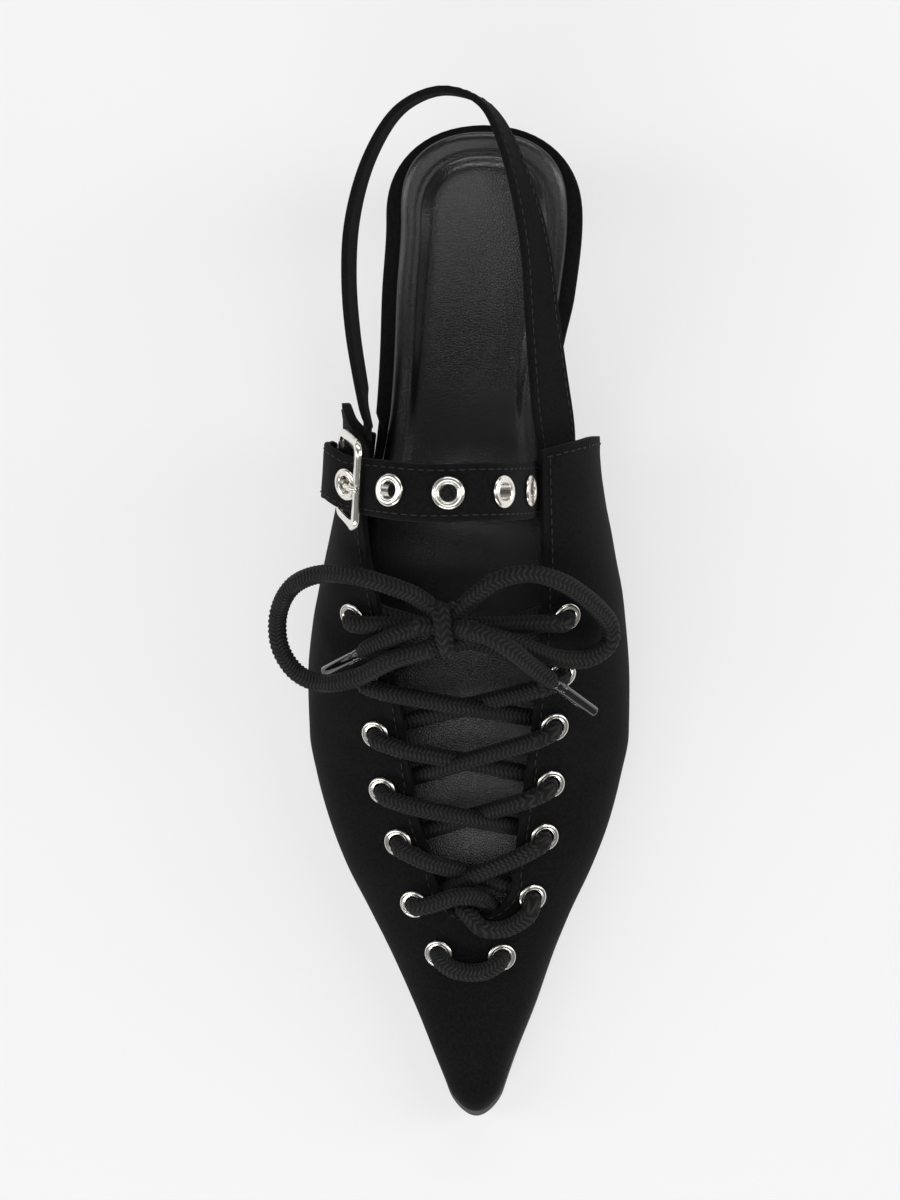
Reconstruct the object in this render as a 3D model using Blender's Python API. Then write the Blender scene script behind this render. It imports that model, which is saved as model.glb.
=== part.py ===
"""A pointed lace-up slingback with a kitten heel, the wearer's right shoe.

Metres, +Z up, the floor at Z = 0. The toe points along -Y and the inner side of the foot is +X.
Lengths along the shoe run from the back of the seat to the tip of the toe.
"""

import math
from collections import namedtuple

import bmesh
import bpy
from mathutils import Matrix, Vector

MM = 0.001

# Driving sizes
SHOE_LENGTH = 270 * MM
BALL_WIDTH = 88 * MM
HEEL_HEIGHT = 45 * MM
TOE_SPRING = 6.4 * MM
INSTEP_HEIGHT = 68 * MM
BACK_OVERHANG = 4.4 * MM
CLEARANCE = 0.3 * MM

# Sole, heel and insole
SOLE_THICKNESS = 3.0 * MM
SOLE_EDGE_BEVEL = 0.8 * MM
SEAT_EDGE_INSET = 0.8 * MM
BOARD_THICKNESS = 2.6 * MM
BOARD_EDGE_ROUND = 0.7 * MM
RIM_WIDTH = 3.8 * MM
RIM_WIDTH_AT_BACK = 1.8 * MM
SOCK_THICKNESS = 2.0 * MM
SOCK_EDGE_ROLL = 0.9 * MM
SEAT_DISH = 1.3 * MM
SEAT_ROUND = 24 * MM
TOE_ROUND = 7 * MM
END_CUT = 0.12 * MM
BOARD_STEP = 5 * MM
BOARD_SHORT_OF_TOE = 4 * MM
SOCK_SHORT_OF_TOE = 14 * MM
SOCK_FROM_RIM = 0.5 * MM
SOCK_SPREAD = 22 * MM
SOCK_TIP_HALF = 1.2 * MM
HEEL_BREAST = 41 * MM
HEEL_COVER_INSET = 0.6 * MM
HEEL_CURVE = 9 * MM
HEEL_WAIST = 3.2 * MM
HEEL_SIDES = 20
HEEL_TIP_LENGTH = 20 * MM
HEEL_TIP_WIDTH = 18 * MM
HEEL_TIP_THICKNESS = 5 * MM
HEEL_TIP_SETBACK = 7 * MM
HEEL_TIP_EDGE = 0.5 * MM

# Upper
UPPER_WALL = 1.8 * MM
WELT_AT_TOE = 1.6 * MM
WELT_AT_WAIST = 0.3 * MM
THROAT_END = 0.792 * SHOE_LENGTH
THROAT_ROUND = 11 * MM
QUARTER_BLEND = 0.437 * SHOE_LENGTH
CROWN_FULLNESS = 0.60
GIRTH_FULLNESS = 0.55
UP_STEPS = 7

# Lace eyelets and cord
EYELET_BORE = 2.2 * MM
EYELET_BARREL = 2.6 * MM
EYELET_FLANGE = 3.7 * MM
EYELET_CROWN = 1.0 * MM
EYELET_SEAT = 0.4 * MM
EYELET_BACK_FLANGE = 3.2 * MM
EYELET_BACK_GAP = 0.5 * MM
EYELET_ROLL = 0.4 * MM
EYELET_SIDES = 10
LACE_DIAMETER = 4.8 * MM
AGLET_DIAMETER = 3.2 * MM
AGLET_LENGTH = 16 * MM
OVER = LACE_DIAMETER / 2 + CLEARANCE
UNDER = UPPER_WALL + LACE_DIAMETER / 2 + CLEARANCE

# Crossings: how far the strands part in height, and the last pair's bend towards the heel as a share of the length
LOWER_SAG = 1.5 * MM
CROSS_LIFT = 1.1 * MM
BAR_DROOP = 4 * MM
INNER_STRAND_ON_TOP = (2, 4)
CROSS_BEND = (0, 0, 0, 0, 0, -0.032)
BEND_RUSH = 1.5
PLAN_STEPS = 40
STRAND_STEPS = 9

# Bow. Its points are across, along and height in millimetres, from the knot outwards.
KNOT = (-4.1 * MM, 133.8 * MM, 64.5 * MM)
KNOT_RADIUS = 6.5 * MM
KNOT_FLATNESS = 0.85
LEAD_BELOW_KNOT = 4 * MM
LEAD_TURN = 8
LEAD_RISE = -58
BOW = {
    "lace_loop_outer": [
        (-8.8, 128.0, 65.0),
        (-14.5, 124.6, 67.8),
        (-26.5, 120.8, 68.6),
        (-37.0, 119.8, 62.0),
        (-45.5, 122.8, 54.5),
        (-50.0, 129.8, 49.0),
        (-50.0, 138.8, 47.5),
        (-45.5, 146.0, 48.0),
        (-38.0, 149.0, 51.5),
        (-28.5, 147.4, 58.0),
        (-19.0, 142.8, 62.8),
        (-8.8, 139.6, 65.0),
    ],
    "lace_loop_inner": [
        (0.6, 128.0, 65.0),
        (4.4, 124.8, 66.5),
        (9.6, 121.4, 67.5),
        (17.3, 119.8, 67.0),
        (25.6, 121.8, 63.5),
        (33.4, 127.0, 57.0),
        (38.4, 132.8, 50.5),
        (38.4, 138.4, 48.0),
        (32.8, 142.4, 50.5),
        (25.2, 142.4, 55.0),
        (17.1, 139.6, 60.0),
        (10.0, 137.0, 62.0),
        (2.9, 135.4, 62.4),
    ],
    "lace_end_outer": [
        (-11.2, 133.8, 66.0),
        (-17.5, 136.0, 64.4),
        (-23.0, 138.5, 60.0),
        (-27.6, 140.8, 55.2),
    ],
    "lace_end_inner": [
        (2.2, 134.4, 68.4),
        (7.2, 136.4, 69.6),
        (12.4, 139.4, 68.6),
        (18.7, 144.6, 63.4),
        (24.2, 148.8, 58.4),
    ],
}

# Straps and buckle
SLING_THICKNESS = 1.8 * MM
STRAP_WIDTH = 15 * MM
STRAP_THICKNESS = 1.8 * MM
STRAP_POINT = 9 * MM
STRAP_POINT_SHARE = 0.3
STRAP_SETTLE = 8 * MM
BAR_RADIUS = 1.0 * MM
FRAME_HALF_WIDTH = 10.6 * MM
BUCKLE_DROP = 7 * MM
HOLE_ABOVE_TOPLINE = 4.4 * MM
HOLE_TO_FRONT_BAR = 5.8 * MM
FRAME_CORNER = 2.6 * MM
KEEPER_THICKNESS = 0.8 * MM
KEEPER_WIDTH = 12 * MM
KEEPER_LENGTH = 16 * MM
PRONG_RADIUS = 0.75 * MM
PRONG_RUN_IN = 2.2 * MM
PRONG_DIP = 1.4 * MM

# The sole's plan. Lengths are shares of SHOE_LENGTH, widths of BALL_WIDTH; outer is the lateral side.
Plan = namedtuple("Plan", "along outer inner")
SOLE_PLAN = [
    Plan(0.000, -0.243, 0.356),
    Plan(0.090, -0.243, 0.356),
    Plan(0.165, -0.260, 0.332),
    Plan(0.220, -0.269, 0.294),
    Plan(0.275, -0.284, 0.275),
    Plan(0.335, -0.313, 0.290),
    Plan(0.405, -0.369, 0.347),
    Plan(0.480, -0.432, 0.420),
    Plan(0.555, -0.477, 0.466),
    Plan(0.605, -0.484, 0.475),
    Plan(0.650, -0.464, 0.455),
    Plan(0.695, -0.434, 0.427),
    Plan(0.740, -0.386, 0.375),
    Plan(0.785, -0.323, 0.318),
    Plan(0.830, -0.257, 0.261),
    Plan(0.885, -0.183, 0.202),
    Plan(0.937, -0.118, 0.139),
    Plan(0.972, -0.074, 0.102),
    Plan(1.000, -0.045, 0.075),
]

# The sole's underside from the side: rise of the seat and waist as a share of HEEL_HEIGHT, of the toe of TOE_SPRING.
Rise = namedtuple("Rise", "along heel toe")
SOLE_RISE = [
    Rise(0.000, 1.000, 0.0),
    Rise(0.090, 0.905, 0.0),
    Rise(0.165, 0.800, 0.0),
    Rise(0.220, 0.700, 0.0),
    Rise(0.275, 0.572, 0.0),
    Rise(0.335, 0.420, 0.0),
    Rise(0.390, 0.278, 0.0),
    Rise(0.445, 0.158, 0.0),
    Rise(0.500, 0.068, 0.0),
    Rise(0.550, 0.015, 0.0),
    Rise(0.585, 0.000, 0.0),
    Rise(0.700, 0.000, 0.0),
    Rise(0.760, 0.000, 0.06),
    Rise(0.830, 0.000, 0.22),
    Rise(0.905, 0.000, 0.50),
    Rise(0.960, 0.000, 0.78),
    Rise(1.000, 0.000, 1.00),
]

# Sections of the last. Widths are shares of BALL_WIDTH, heights above the feather line of INSTEP_HEIGHT.
Section = namedtuple(
    "Section",
    "along girth_outer girth_inner level_outer level_inner crown crown_outer crown_inner edge_outer edge_inner",
)
LAST = [
    Section(0.260, -0.366, 0.400, 0.38, 0.28, -0.05, 0.88, 0.74, -0.285, 0.240),
    Section(0.335, -0.372, 0.411, 0.38, 0.28, -0.05, 0.95, 0.80, -0.288, 0.240),
    Section(0.370, -0.394, 0.425, 0.36, 0.28, -0.04, 0.97, 0.83, -0.297, 0.241),
    Section(0.405, -0.421, 0.447, 0.33, 0.27, -0.03, 0.95, 0.84, -0.292, 0.242),
    Section(0.480, -0.480, 0.483, 0.27, 0.26, -0.02, 0.80, 0.78, -0.256, 0.238),
    Section(0.555, -0.507, 0.498, 0.22, 0.22, -0.01, 0.67, 0.66, -0.212, 0.216),
    Section(0.605, -0.504, 0.496, 0.20, 0.20, 0.00, 0.59, 0.59, -0.190, 0.200),
    Section(0.650, -0.480, 0.470, 0.18, 0.18, 0.00, 0.530, 0.530, -0.173, 0.180),
    Section(0.695, -0.443, 0.434, 0.16, 0.16, 0.005, 0.475, 0.475, -0.148, 0.161),
    Section(0.740, -0.391, 0.382, 0.14, 0.14, 0.01, 0.43, 0.43, -0.108, 0.143),
    Section(0.785, -0.321, 0.317, 0.12, 0.12, 0.015, 0.375, 0.375, -0.085, 0.130),
    Section(0.830, -0.252, 0.256, 0.105, 0.105, 0.015, 0.320, 0.320, 0.0, 0.0),
    Section(0.885, -0.176, 0.194, 0.09, 0.09, 0.015, 0.255, 0.255, 0.0, 0.0),
    Section(0.937, -0.110, 0.129, 0.075, 0.075, 0.014, 0.195, 0.195, 0.0, 0.0),
    Section(0.972, -0.066, 0.092, 0.06, 0.06, 0.014, 0.150, 0.150, 0.0, 0.0),
    Section(1.000, -0.038, 0.062, 0.05, 0.05, 0.013, 0.120, 0.120, 0.0, 0.0),
]

# Rear edge of each quarter: height share from feather to topline, and place along as a share of SHOE_LENGTH.
RearEdge = namedtuple("RearEdge", "height outer inner")
REAR_EDGE = [
    RearEdge(0.00, 0.300, 0.314),
    RearEdge(0.25, 0.288, 0.309),
    RearEdge(0.45, 0.275, 0.307),
    RearEdge(0.60, 0.276, 0.309),
    RearEdge(0.75, 0.287, 0.314),
    RearEdge(0.88, 0.303, 0.319),
    RearEdge(1.00, 0.325, 0.325),
]

# Eyelet pairs, from the topline to the toe: across as shares of BALL_WIDTH, along of SHOE_LENGTH.
Pair = namedtuple("Pair", "outer outer_along inner inner_along")
EYELET_PAIRS = [
    Pair(-0.340, 0.486, 0.309, 0.486),
    Pair(-0.307, 0.548, 0.293, 0.543),
    Pair(-0.280, 0.604, 0.269, 0.596),
    Pair(-0.262, 0.661, 0.256, 0.654),
    Pair(-0.216, 0.714, 0.236, 0.708),
    Pair(-0.170, 0.777, 0.197, 0.770),
    Pair(-0.094, 0.828, 0.101, 0.831),
]

# The back strap's middle line: across in BALL_WIDTH, along in SHOE_LENGTH, height in HEEL_HEIGHT above the seat's
# top edge, width in SLING_WIDTH, and how far its top leans to the outer side, in degrees.
SLING_WIDTH = 9 * MM
SLING_RISE = 52 * MM
SLING_TUCK = 5 * MM
SLING_DROP = 9 * MM
SLING_STAND_OFF = 1.9 * MM
SLING_OUTER_LEAN = math.radians(6)
Sling = namedtuple("Sling", "across along height width lean")
SLING_PATH = [
    Sling(0.262, 0.267, 0.337, 1.55, 41),
    Sling(0.242, 0.200, 0.480, 1.36, 41),
    Sling(0.224, 0.134, 0.635, 1.20, 39),
    Sling(0.186, 0.077, 0.760, 1.06, 34),
    Sling(0.125, 0.022, 0.837, 0.97, 23),
    Sling(0.060, -0.004, 0.858, 0.95, 13),
    Sling(-0.040, -0.013, 0.865, 0.95, 6),
    Sling(-0.135, -0.003, 0.862, 0.95, 8),
    Sling(-0.205, 0.019, 0.850, 0.95, 10),
    Sling(-0.270, 0.060, 0.815, 0.96, 12),
    Sling(-0.311, 0.109, 0.750, 1.00, 13),
    Sling(-0.324, 0.160, 0.650, 1.12, 11),
    Sling(-0.316, 0.214, 0.545, 1.28, 9),
    Sling(-0.291, 0.272, 0.430, 1.40, 5),
]

# The instep strap's free arch: across in BALL_WIDTH, along in SHOE_LENGTH, height in STRAP_ARCH above the feather line.
STRAP_ARCH = 78 * MM
Arch = namedtuple("Arch", "across along height")
STRAP_SPAN = [
    Arch(0.192, 0.364, 0.735),
    Arch(0.130, 0.366, 0.905),
    Arch(0.050, 0.367, 0.985),
    Arch(-0.040, 0.368, 1.000),
    Arch(-0.130, 0.367, 0.975),
    Arch(-0.208, 0.364, 0.932),
]
STRAP_HOLE_ALONG = 0.355
STRAP_BUCKLE_ALONG = 0.343
STRAP_TAIL_ALONG = 0.340
STRAP_TAIL = 36 * MM
STRAP_TUCK = 9 * MM
STRAP_EYELET_PITCH = 15.6 * MM
STRAP_EYELETS = 5
STRAP_STEPS = 12

Maker = namedtuple("Maker", "collection cutters materials")


def slopes(xs, ys):
    """Slopes at the knots of a monotone cubic through (xs, ys)."""
    steps = [(ys[i + 1] - ys[i]) / (xs[i + 1] - xs[i]) for i in range(len(xs) - 1)]
    found = [steps[0]]
    for i in range(1, len(steps)):
        if steps[i - 1] * steps[i] <= 0:
            found.append(0.0)
        else:
            wide, thin = 2 * (xs[i + 1] - xs[i]) + xs[i] - xs[i - 1], xs[i + 1] - xs[i] + 2 * (xs[i] - xs[i - 1])
            found.append((wide + thin) / (wide / steps[i - 1] + thin / steps[i]))
    return found + [steps[-1]]


def read(table, column, place, by="along"):
    """The value of a table's column at a place, on a smooth line that never overshoots the rows."""
    xs = [getattr(row, by) for row in table]
    ys = [getattr(row, column) for row in table]
    if place <= xs[0]:
        return ys[0]
    if place >= xs[-1]:
        return ys[-1]
    i = max(k for k in range(len(xs) - 1) if xs[k] <= place)
    gradients = slopes(xs, ys)
    h = xs[i + 1] - xs[i]
    t = (place - xs[i]) / h
    return (
        ys[i] * (1 + 2 * t) * (1 - t) ** 2
        + h * gradients[i] * t * (1 - t) ** 2
        + ys[i + 1] * t * t * (3 - 2 * t)
        + h * gradients[i + 1] * t * t * (t - 1)
    )


def ease(low, high, value):
    """0 below low, 1 above high, and a smooth step between."""
    t = min(1.0, max(0.0, (value - low) / (high - low)))
    return t * t * (3 - 2 * t)


def spot(across, along, height):
    """A point in the row frame from its place on the shoe."""
    return Vector((across, (SHOE_LENGTH - BACK_OVERHANG) / 2 - along, height))


def end_round(along):
    """Share of the full width at a place: the sole is rounded at the back of the seat and at the toe."""
    if along < SEAT_ROUND:
        power = 2.2
        return (1 - min(1.0, (SEAT_ROUND - along) / SEAT_ROUND) ** power) ** (1 / power)
    if along > SHOE_LENGTH - TOE_ROUND:
        return math.sqrt(max(0.0, 1 - ((along - SHOE_LENGTH + TOE_ROUND) / TOE_ROUND) ** 2))
    return 1.0


def sole_sides(along, inset=0.0):
    """The sole's outer and inner edge at a place along it, drawn in by an inset."""
    outer = read(SOLE_PLAN, "outer", along / SHOE_LENGTH) * BALL_WIDTH
    inner = read(SOLE_PLAN, "inner", along / SHOE_LENGTH) * BALL_WIDTH
    middle, half = (outer + inner) / 2, (inner - outer) / 2 - inset
    half *= end_round(along)
    return middle - half, middle + half


def sole_under(along):
    """Height of the sole's underside."""
    share = along / SHOE_LENGTH
    return read(SOLE_RISE, "heel", share) * HEEL_HEIGHT + read(SOLE_RISE, "toe", share) * TOE_SPRING


def feather(along):
    """Height at which the upper and the insole board stand on the sole."""
    return sole_under(along) + SOLE_THICKNESS + CLEARANCE


def stations(start, end, count, round_start=False, round_end=False):
    """Places along the shoe, closer together where an end is round."""
    found = []
    for i in range(count + 1):
        t = i / count
        if round_start and round_end:
            t = (1 - math.cos(math.pi * t)) / 2
        elif round_start:
            t = 1 - math.cos(math.pi * t / 2)
        elif round_end:
            t = math.sin(math.pi * t / 2)
        found.append(start + (end - start) * t)
    return found


def finish(maker, name, bm, slot, smooth=35):
    """Links a closed mesh to the collection, faces out, with its material."""
    bmesh.ops.remove_doubles(bm, verts=bm.verts, dist=1e-6)
    bmesh.ops.recalc_face_normals(bm, faces=bm.faces)
    mesh = bpy.data.meshes.new(name)
    bm.to_mesh(mesh)
    bm.free()
    obj = bpy.data.objects.new(name, mesh)
    maker.collection.objects.link(obj)
    mesh.materials.append(maker.materials[slot])
    mesh.shade_smooth()
    mesh.set_sharp_from_angle(angle=math.radians(smooth))
    return obj


def loft(maker, name, rings, slot, smooth=35):
    """A closed solid through rings of equally many points, with a flat cap on each end."""
    bm = bmesh.new()
    rows = [[bm.verts.new(point) for point in ring] for ring in rings]
    for first, second in zip(rows, rows[1:]):
        for i in range(len(first)):
            j = (i + 1) % len(first)
            bm.faces.new((first[i], first[j], second[j], second[i]))
    bm.faces.new(rows[0])
    bm.faces.new(rows[-1])
    return finish(maker, name, bm, slot, smooth)


def outsole_ring(along):
    inset = SEAT_EDGE_INSET * (1 - ease(0.33 * SHOE_LENGTH, 0.41 * SHOE_LENGTH, along))
    outer, inner = sole_sides(along, inset)
    low, top = sole_under(along), sole_under(along) + SOLE_THICKNESS
    bevel = min(SOLE_EDGE_BEVEL, (inner - outer) / 4)
    return [
        spot(outer, along, top),
        spot(outer, along, low + bevel),
        spot(outer + bevel, along, low),
        spot(inner - bevel, along, low),
        spot(inner, along, low + bevel),
        spot(inner, along, top),
    ]


def make_outsole(maker):
    places = stations(END_CUT, SEAT_ROUND, 7, round_start=True)
    places += stations(SEAT_ROUND, SHOE_LENGTH - TOE_ROUND, 26)[1:]
    places += stations(SHOE_LENGTH - TOE_ROUND, SHOE_LENGTH - END_CUT, 5, round_end=True)[1:]
    loft(maker, "outsole", [outsole_ring(place) for place in places], "sole")


def upper_inset(along):
    """How far the outside of the upper stands in from the sole's edge at the feather line."""
    share = ease(0.45 * SHOE_LENGTH, 0.85 * SHOE_LENGTH, along)
    return WELT_AT_WAIST + (WELT_AT_TOE - WELT_AT_WAIST) * share


def board_inset(along):
    """The board is full width at the seat and steps in to stand inside the upper."""
    start = read(REAR_EDGE, "outer", 0.0, by="height") * SHOE_LENGTH
    inside = upper_inset(along) + UPPER_WALL + CLEARANCE
    return inside * ease(start - BOARD_STEP, start - 2 * CLEARANCE, along)


def board_ring(along):
    outer, inner = sole_sides(along, board_inset(along))
    low = feather(along)
    top = low + BOARD_THICKNESS
    bevel = min(BOARD_EDGE_ROUND, (inner - outer) / 4)
    return [
        spot(outer, along, top - bevel),
        spot(outer, along, low),
        spot(inner, along, low),
        spot(inner, along, top - bevel),
        spot(inner - bevel, along, top),
        spot(outer + bevel, along, top),
    ]


def board_places():
    step_in = read(REAR_EDGE, "outer", 0.0, by="height") * SHOE_LENGTH
    end = SHOE_LENGTH - WELT_AT_TOE - UPPER_WALL - BOARD_SHORT_OF_TOE
    places = stations(END_CUT, SEAT_ROUND, 6, round_start=True)
    places += stations(SEAT_ROUND, step_in - BOARD_STEP, 4)[1:]
    places += stations(step_in - BOARD_STEP, step_in, 4)[1:]
    places += stations(step_in, end, 16)[1:]
    return places


def make_board(maker):
    loft(maker, "insole_board", [board_ring(place) for place in board_places()], "upper")


def sock_inset(along):
    """The sock lies inside the rim at the seat and reaches the upper further forward."""
    back = ease(0, SEAT_ROUND, along)
    rim = RIM_WIDTH_AT_BACK + (RIM_WIDTH - RIM_WIDTH_AT_BACK) * back
    start = read(REAR_EDGE, "outer", 0.0, by="height") * SHOE_LENGTH
    inside = upper_inset(along) + UPPER_WALL + 2 * CLEARANCE
    return rim + (inside - rim) * ease(start, start + SOCK_SPREAD, along)


def sock_top(along, share):
    """Height of the sock above the board: a rolled edge around a dished seat. Share runs from -1 to 1 across."""
    seat = 1 - ease(0.16 * SHOE_LENGTH, 0.34 * SHOE_LENGTH, along)
    edge = max(abs(share), 1 - end_round(along))
    roll = math.sqrt(max(0.0, 1 - max(0.0, (edge - 0.86) / 0.14) ** 2))
    dish = SEAT_DISH * seat * (1 - ease(0.52, 0.74, edge))
    return SOCK_THICKNESS * (0.35 + 0.65 * roll) + SOCK_EDGE_ROLL * seat * ease(0.6, 0.85, edge) * roll - dish


def sock_ring(along):
    inset = sock_inset(along)
    outer, inner = sole_sides(along)
    middle, half = (outer + inner) / 2, max((inner - outer) / 2 - inset, SOCK_TIP_HALF)
    low = feather(along) + BOARD_THICKNESS + CLEARANCE
    shares = (-1, -0.86, -0.74, -0.52, 0, 0.52, 0.74, 0.86, 1)
    ring = [spot(middle + share * half, along, low + sock_top(along, share)) for share in shares]
    return ring + [spot(middle + half, along, low), spot(middle - half, along, low)]


def make_sock(maker):
    end = SHOE_LENGTH - WELT_AT_TOE - UPPER_WALL - SOCK_SHORT_OF_TOE
    places = stations(RIM_WIDTH_AT_BACK + SOCK_FROM_RIM, SEAT_ROUND, 5, round_start=True)
    places += stations(SEAT_ROUND, end, 17)[1:]
    loft(maker, "insole", [sock_ring(place) for place in places], "insole", smooth=50)


def heel_ring(level):
    """A ring around the heel, from the seat at level 0 to the tip at level 1."""
    waist = math.sin(math.pi * level) ** 0.8
    inset = SEAT_EDGE_INSET + HEEL_COVER_INSET
    back = inset + (HEEL_TIP_SETBACK - SEAT_EDGE_INSET) * ease(0, 1, level)
    front = HEEL_BREAST + (HEEL_TIP_SETBACK + HEEL_TIP_LENGTH - HEEL_BREAST) * level - HEEL_CURVE * waist
    outer, inner = sole_sides(SEAT_ROUND, inset)
    middle, top_half = (outer + inner) / 2, (inner - outer) / 2
    half = top_half + (HEEL_TIP_WIDTH / 2 - top_half) * level ** 0.7 - HEEL_WAIST * waist
    bottom = HEEL_TIP_THICKNESS + CLEARANCE
    ring = []
    for i in range(HEEL_SIDES):
        angle = 2 * math.pi * i / HEEL_SIDES
        c, s = math.cos(angle), math.sin(angle)
        square_across, square_along = (0.9, 1.0) if s < 0 else (0.72, 0.86)
        across = middle + half * math.copysign(abs(c) ** square_across, c)
        along = (back + front) / 2 + (front - back) / 2 * math.copysign(abs(s) ** square_along, s)
        top = sole_under(along) - CLEARANCE
        ring.append(spot(across, along, top + (bottom - top) * level))
    return ring


def make_heel(maker):
    levels = [0, 0.06, 0.14, 0.24, 0.36, 0.5, 0.64, 0.78, 0.9, 1]
    loft(maker, "heel", [heel_ring(level) for level in levels], "heel", smooth=50)
    flat = [Vector((p.x, p.y, 0)) for p in heel_ring(1)]
    centre = sum(flat, Vector()) / len(flat)
    inner = [centre + (p - centre) * (1 - HEEL_TIP_EDGE / (HEEL_TIP_WIDTH / 2)) for p in flat]
    up = Vector((0, 0, 1))
    rings = [inner, [p + up * HEEL_TIP_EDGE for p in flat], [p + up * HEEL_TIP_THICKNESS for p in flat]]
    loft(maker, "heel_tip", rings, "tip")


def bezier(a, b, c, d, t):
    return a * (1 - t) ** 3 + 3 * b * t * (1 - t) ** 2 + 3 * c * t * t * (1 - t) + d * t**3


class Side:
    """One half of a section of the last, from the feather line over the girth to the crown."""

    def __init__(self, along, inner, depth=0.0):
        share = along / SHOE_LENGTH
        name = "inner" if inner else "outer"
        sign = 1 if inner else -1
        tip = SHOE_LENGTH - WELT_AT_TOE
        nose = math.sqrt(max(0.0, 1 - max(0.0, (along - tip + TOE_ROUND) / TOE_ROUND) ** 2))
        edges = [read(SOLE_PLAN, side, share) * BALL_WIDTH for side in ("outer", "inner")]
        middle = sum(edges) / 2
        edge = read(SOLE_PLAN, name, share) * BALL_WIDTH - sign * upper_inset(along)
        girth = read(LAST, f"girth_{name}", share) * BALL_WIDTH
        girth = sign * max(sign * girth, sign * edge)
        self.base = feather(along)
        self.foot = middle + (edge - middle) * nose - sign * depth
        self.girth = middle + (girth - middle) * nose - sign * depth
        self.level = self.base + read(LAST, f"level_{name}", share) * INSTEP_HEIGHT * (0.4 + 0.6 * nose)
        self.crown = read(LAST, "crown", share) * BALL_WIDTH
        height = read(LAST, f"crown_{name}", share) * INSTEP_HEIGHT
        rise = self.level - self.base
        self.top = self.base + rise + (height - rise) * nose - depth * nose
        throat = read(LAST, f"edge_{name}", share) * BALL_WIDTH
        closing = max(0.0, (along - THROAT_END + THROAT_ROUND) / THROAT_ROUND)
        self.open = along < THROAT_END
        gap = math.sqrt(max(0.0, 1 - closing**2))
        self.throat = self.crown + (throat - self.crown) * gap

    def at(self, turn):
        """The point at a turn from 0 at the feather, 1 at the girth, to 2 at the crown, as (across, height)."""
        full = GIRTH_FULLNESS
        if turn <= 1:
            x = bezier(self.foot, self.foot + full * (self.girth - self.foot), self.girth, self.girth, turn)
            low = self.level - full * (self.level - self.base)
            return x, bezier(self.base, self.base, low, self.level, turn)
        full = CROWN_FULLNESS
        t = turn - 1
        x = bezier(self.girth, self.girth, self.crown + full * (self.girth - self.crown), self.crown, t)
        return x, bezier(self.level, self.level + full * (self.top - self.level), self.top, self.top, t)

    def turn_at(self, across):
        """The turn on the upper curve where it passes a place across."""
        low, high = 1.0, 2.0
        for _ in range(30):
            middle = (low + high) / 2
            if abs(self.at(middle)[0] - self.crown) > abs(across - self.crown):
                low = middle
            else:
                high = middle
        return (low + high) / 2

    def topline(self):
        return self.turn_at(self.throat) if self.open else 2.0

    def spread(self, count):
        """Turns that divide the curve from the feather to the topline into equal lengths."""
        end = self.topline()
        fine = [end * i / 40 for i in range(41)]
        points = [self.at(turn) for turn in fine]
        run = [0.0]
        for p, q in zip(points, points[1:]):
            run.append(run[-1] + math.hypot(q[0] - p[0], q[1] - p[1]))
        found, k = [], 0
        for i in range(count + 1):
            goal = run[-1] * i / count
            while k < 39 and run[k + 1] < goal:
                k += 1
            t = 0 if run[k + 1] == run[k] else (goal - run[k]) / (run[k + 1] - run[k])
            found.append(fine[k] + (fine[k + 1] - fine[k]) * min(1.0, t))
        return found


def upper_point(along, inner, turn, depth=0.0):
    """A point of the upper's outer face, or of its lining at a depth."""
    tip = SHOE_LENGTH - WELT_AT_TOE
    along -= depth * ease(tip - 3 * TOE_ROUND, tip, along)
    across, height = Side(along, inner, depth).at(turn)
    return spot(across, along, height)


def upper_frame(across, along, inner):
    """Point, outward normal, and the direction up the section, on the upper's outer face."""
    turn = Side(along, inner).turn_at(across)
    return frame_at(along, inner, turn)


def frame_at(along, inner, turn):
    step = 0.02
    point = upper_point(along, inner, turn)
    up = upper_point(along, inner, min(turn + step, 2.0)) - upper_point(along, inner, turn - step)
    ahead = upper_point(along + MM, inner, turn) - upper_point(along - MM, inner, turn)
    normal = up.cross(ahead) if inner else ahead.cross(up)
    return point, normal.normalized(), up.normalized()


def upper_rows():
    """Rows of the upper's grid: each is a function of the side and the height share, giving the place along."""
    tip = SHOE_LENGTH - WELT_AT_TOE
    rear = [(i / 5, QUARTER_BLEND) for i in range(5)]
    fixed = stations(QUARTER_BLEND, THROAT_END - THROAT_ROUND, 8)
    fixed += stations(THROAT_END - THROAT_ROUND, THROAT_END, 5, round_end=True)[1:]
    fixed += stations(THROAT_END, tip - TOE_ROUND, 5)[1:]
    fixed += stations(tip - TOE_ROUND, tip - END_CUT, 5, round_end=True)[1:]
    return rear + [(None, place) for place in fixed]


def upper_grid(depth):
    """Rows of points from the outer feather line over the throat to the inner one."""
    grid = []
    for blend, place in upper_rows():
        row = []
        for inner in (False, True):
            points = []
            for i in range(UP_STEPS + 1):
                along = place
                if blend is not None:
                    rear = read(REAR_EDGE, "inner" if inner else "outer", i / UP_STEPS, by="height") * SHOE_LENGTH
                    along = rear + (place - rear) * blend
                turn = Side(along, inner).spread(UP_STEPS)[i]
                points.append(upper_point(along, inner, turn, depth))
            row.append(points)
        grid.append(row[0] + row[1][::-1])
    return grid


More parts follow.
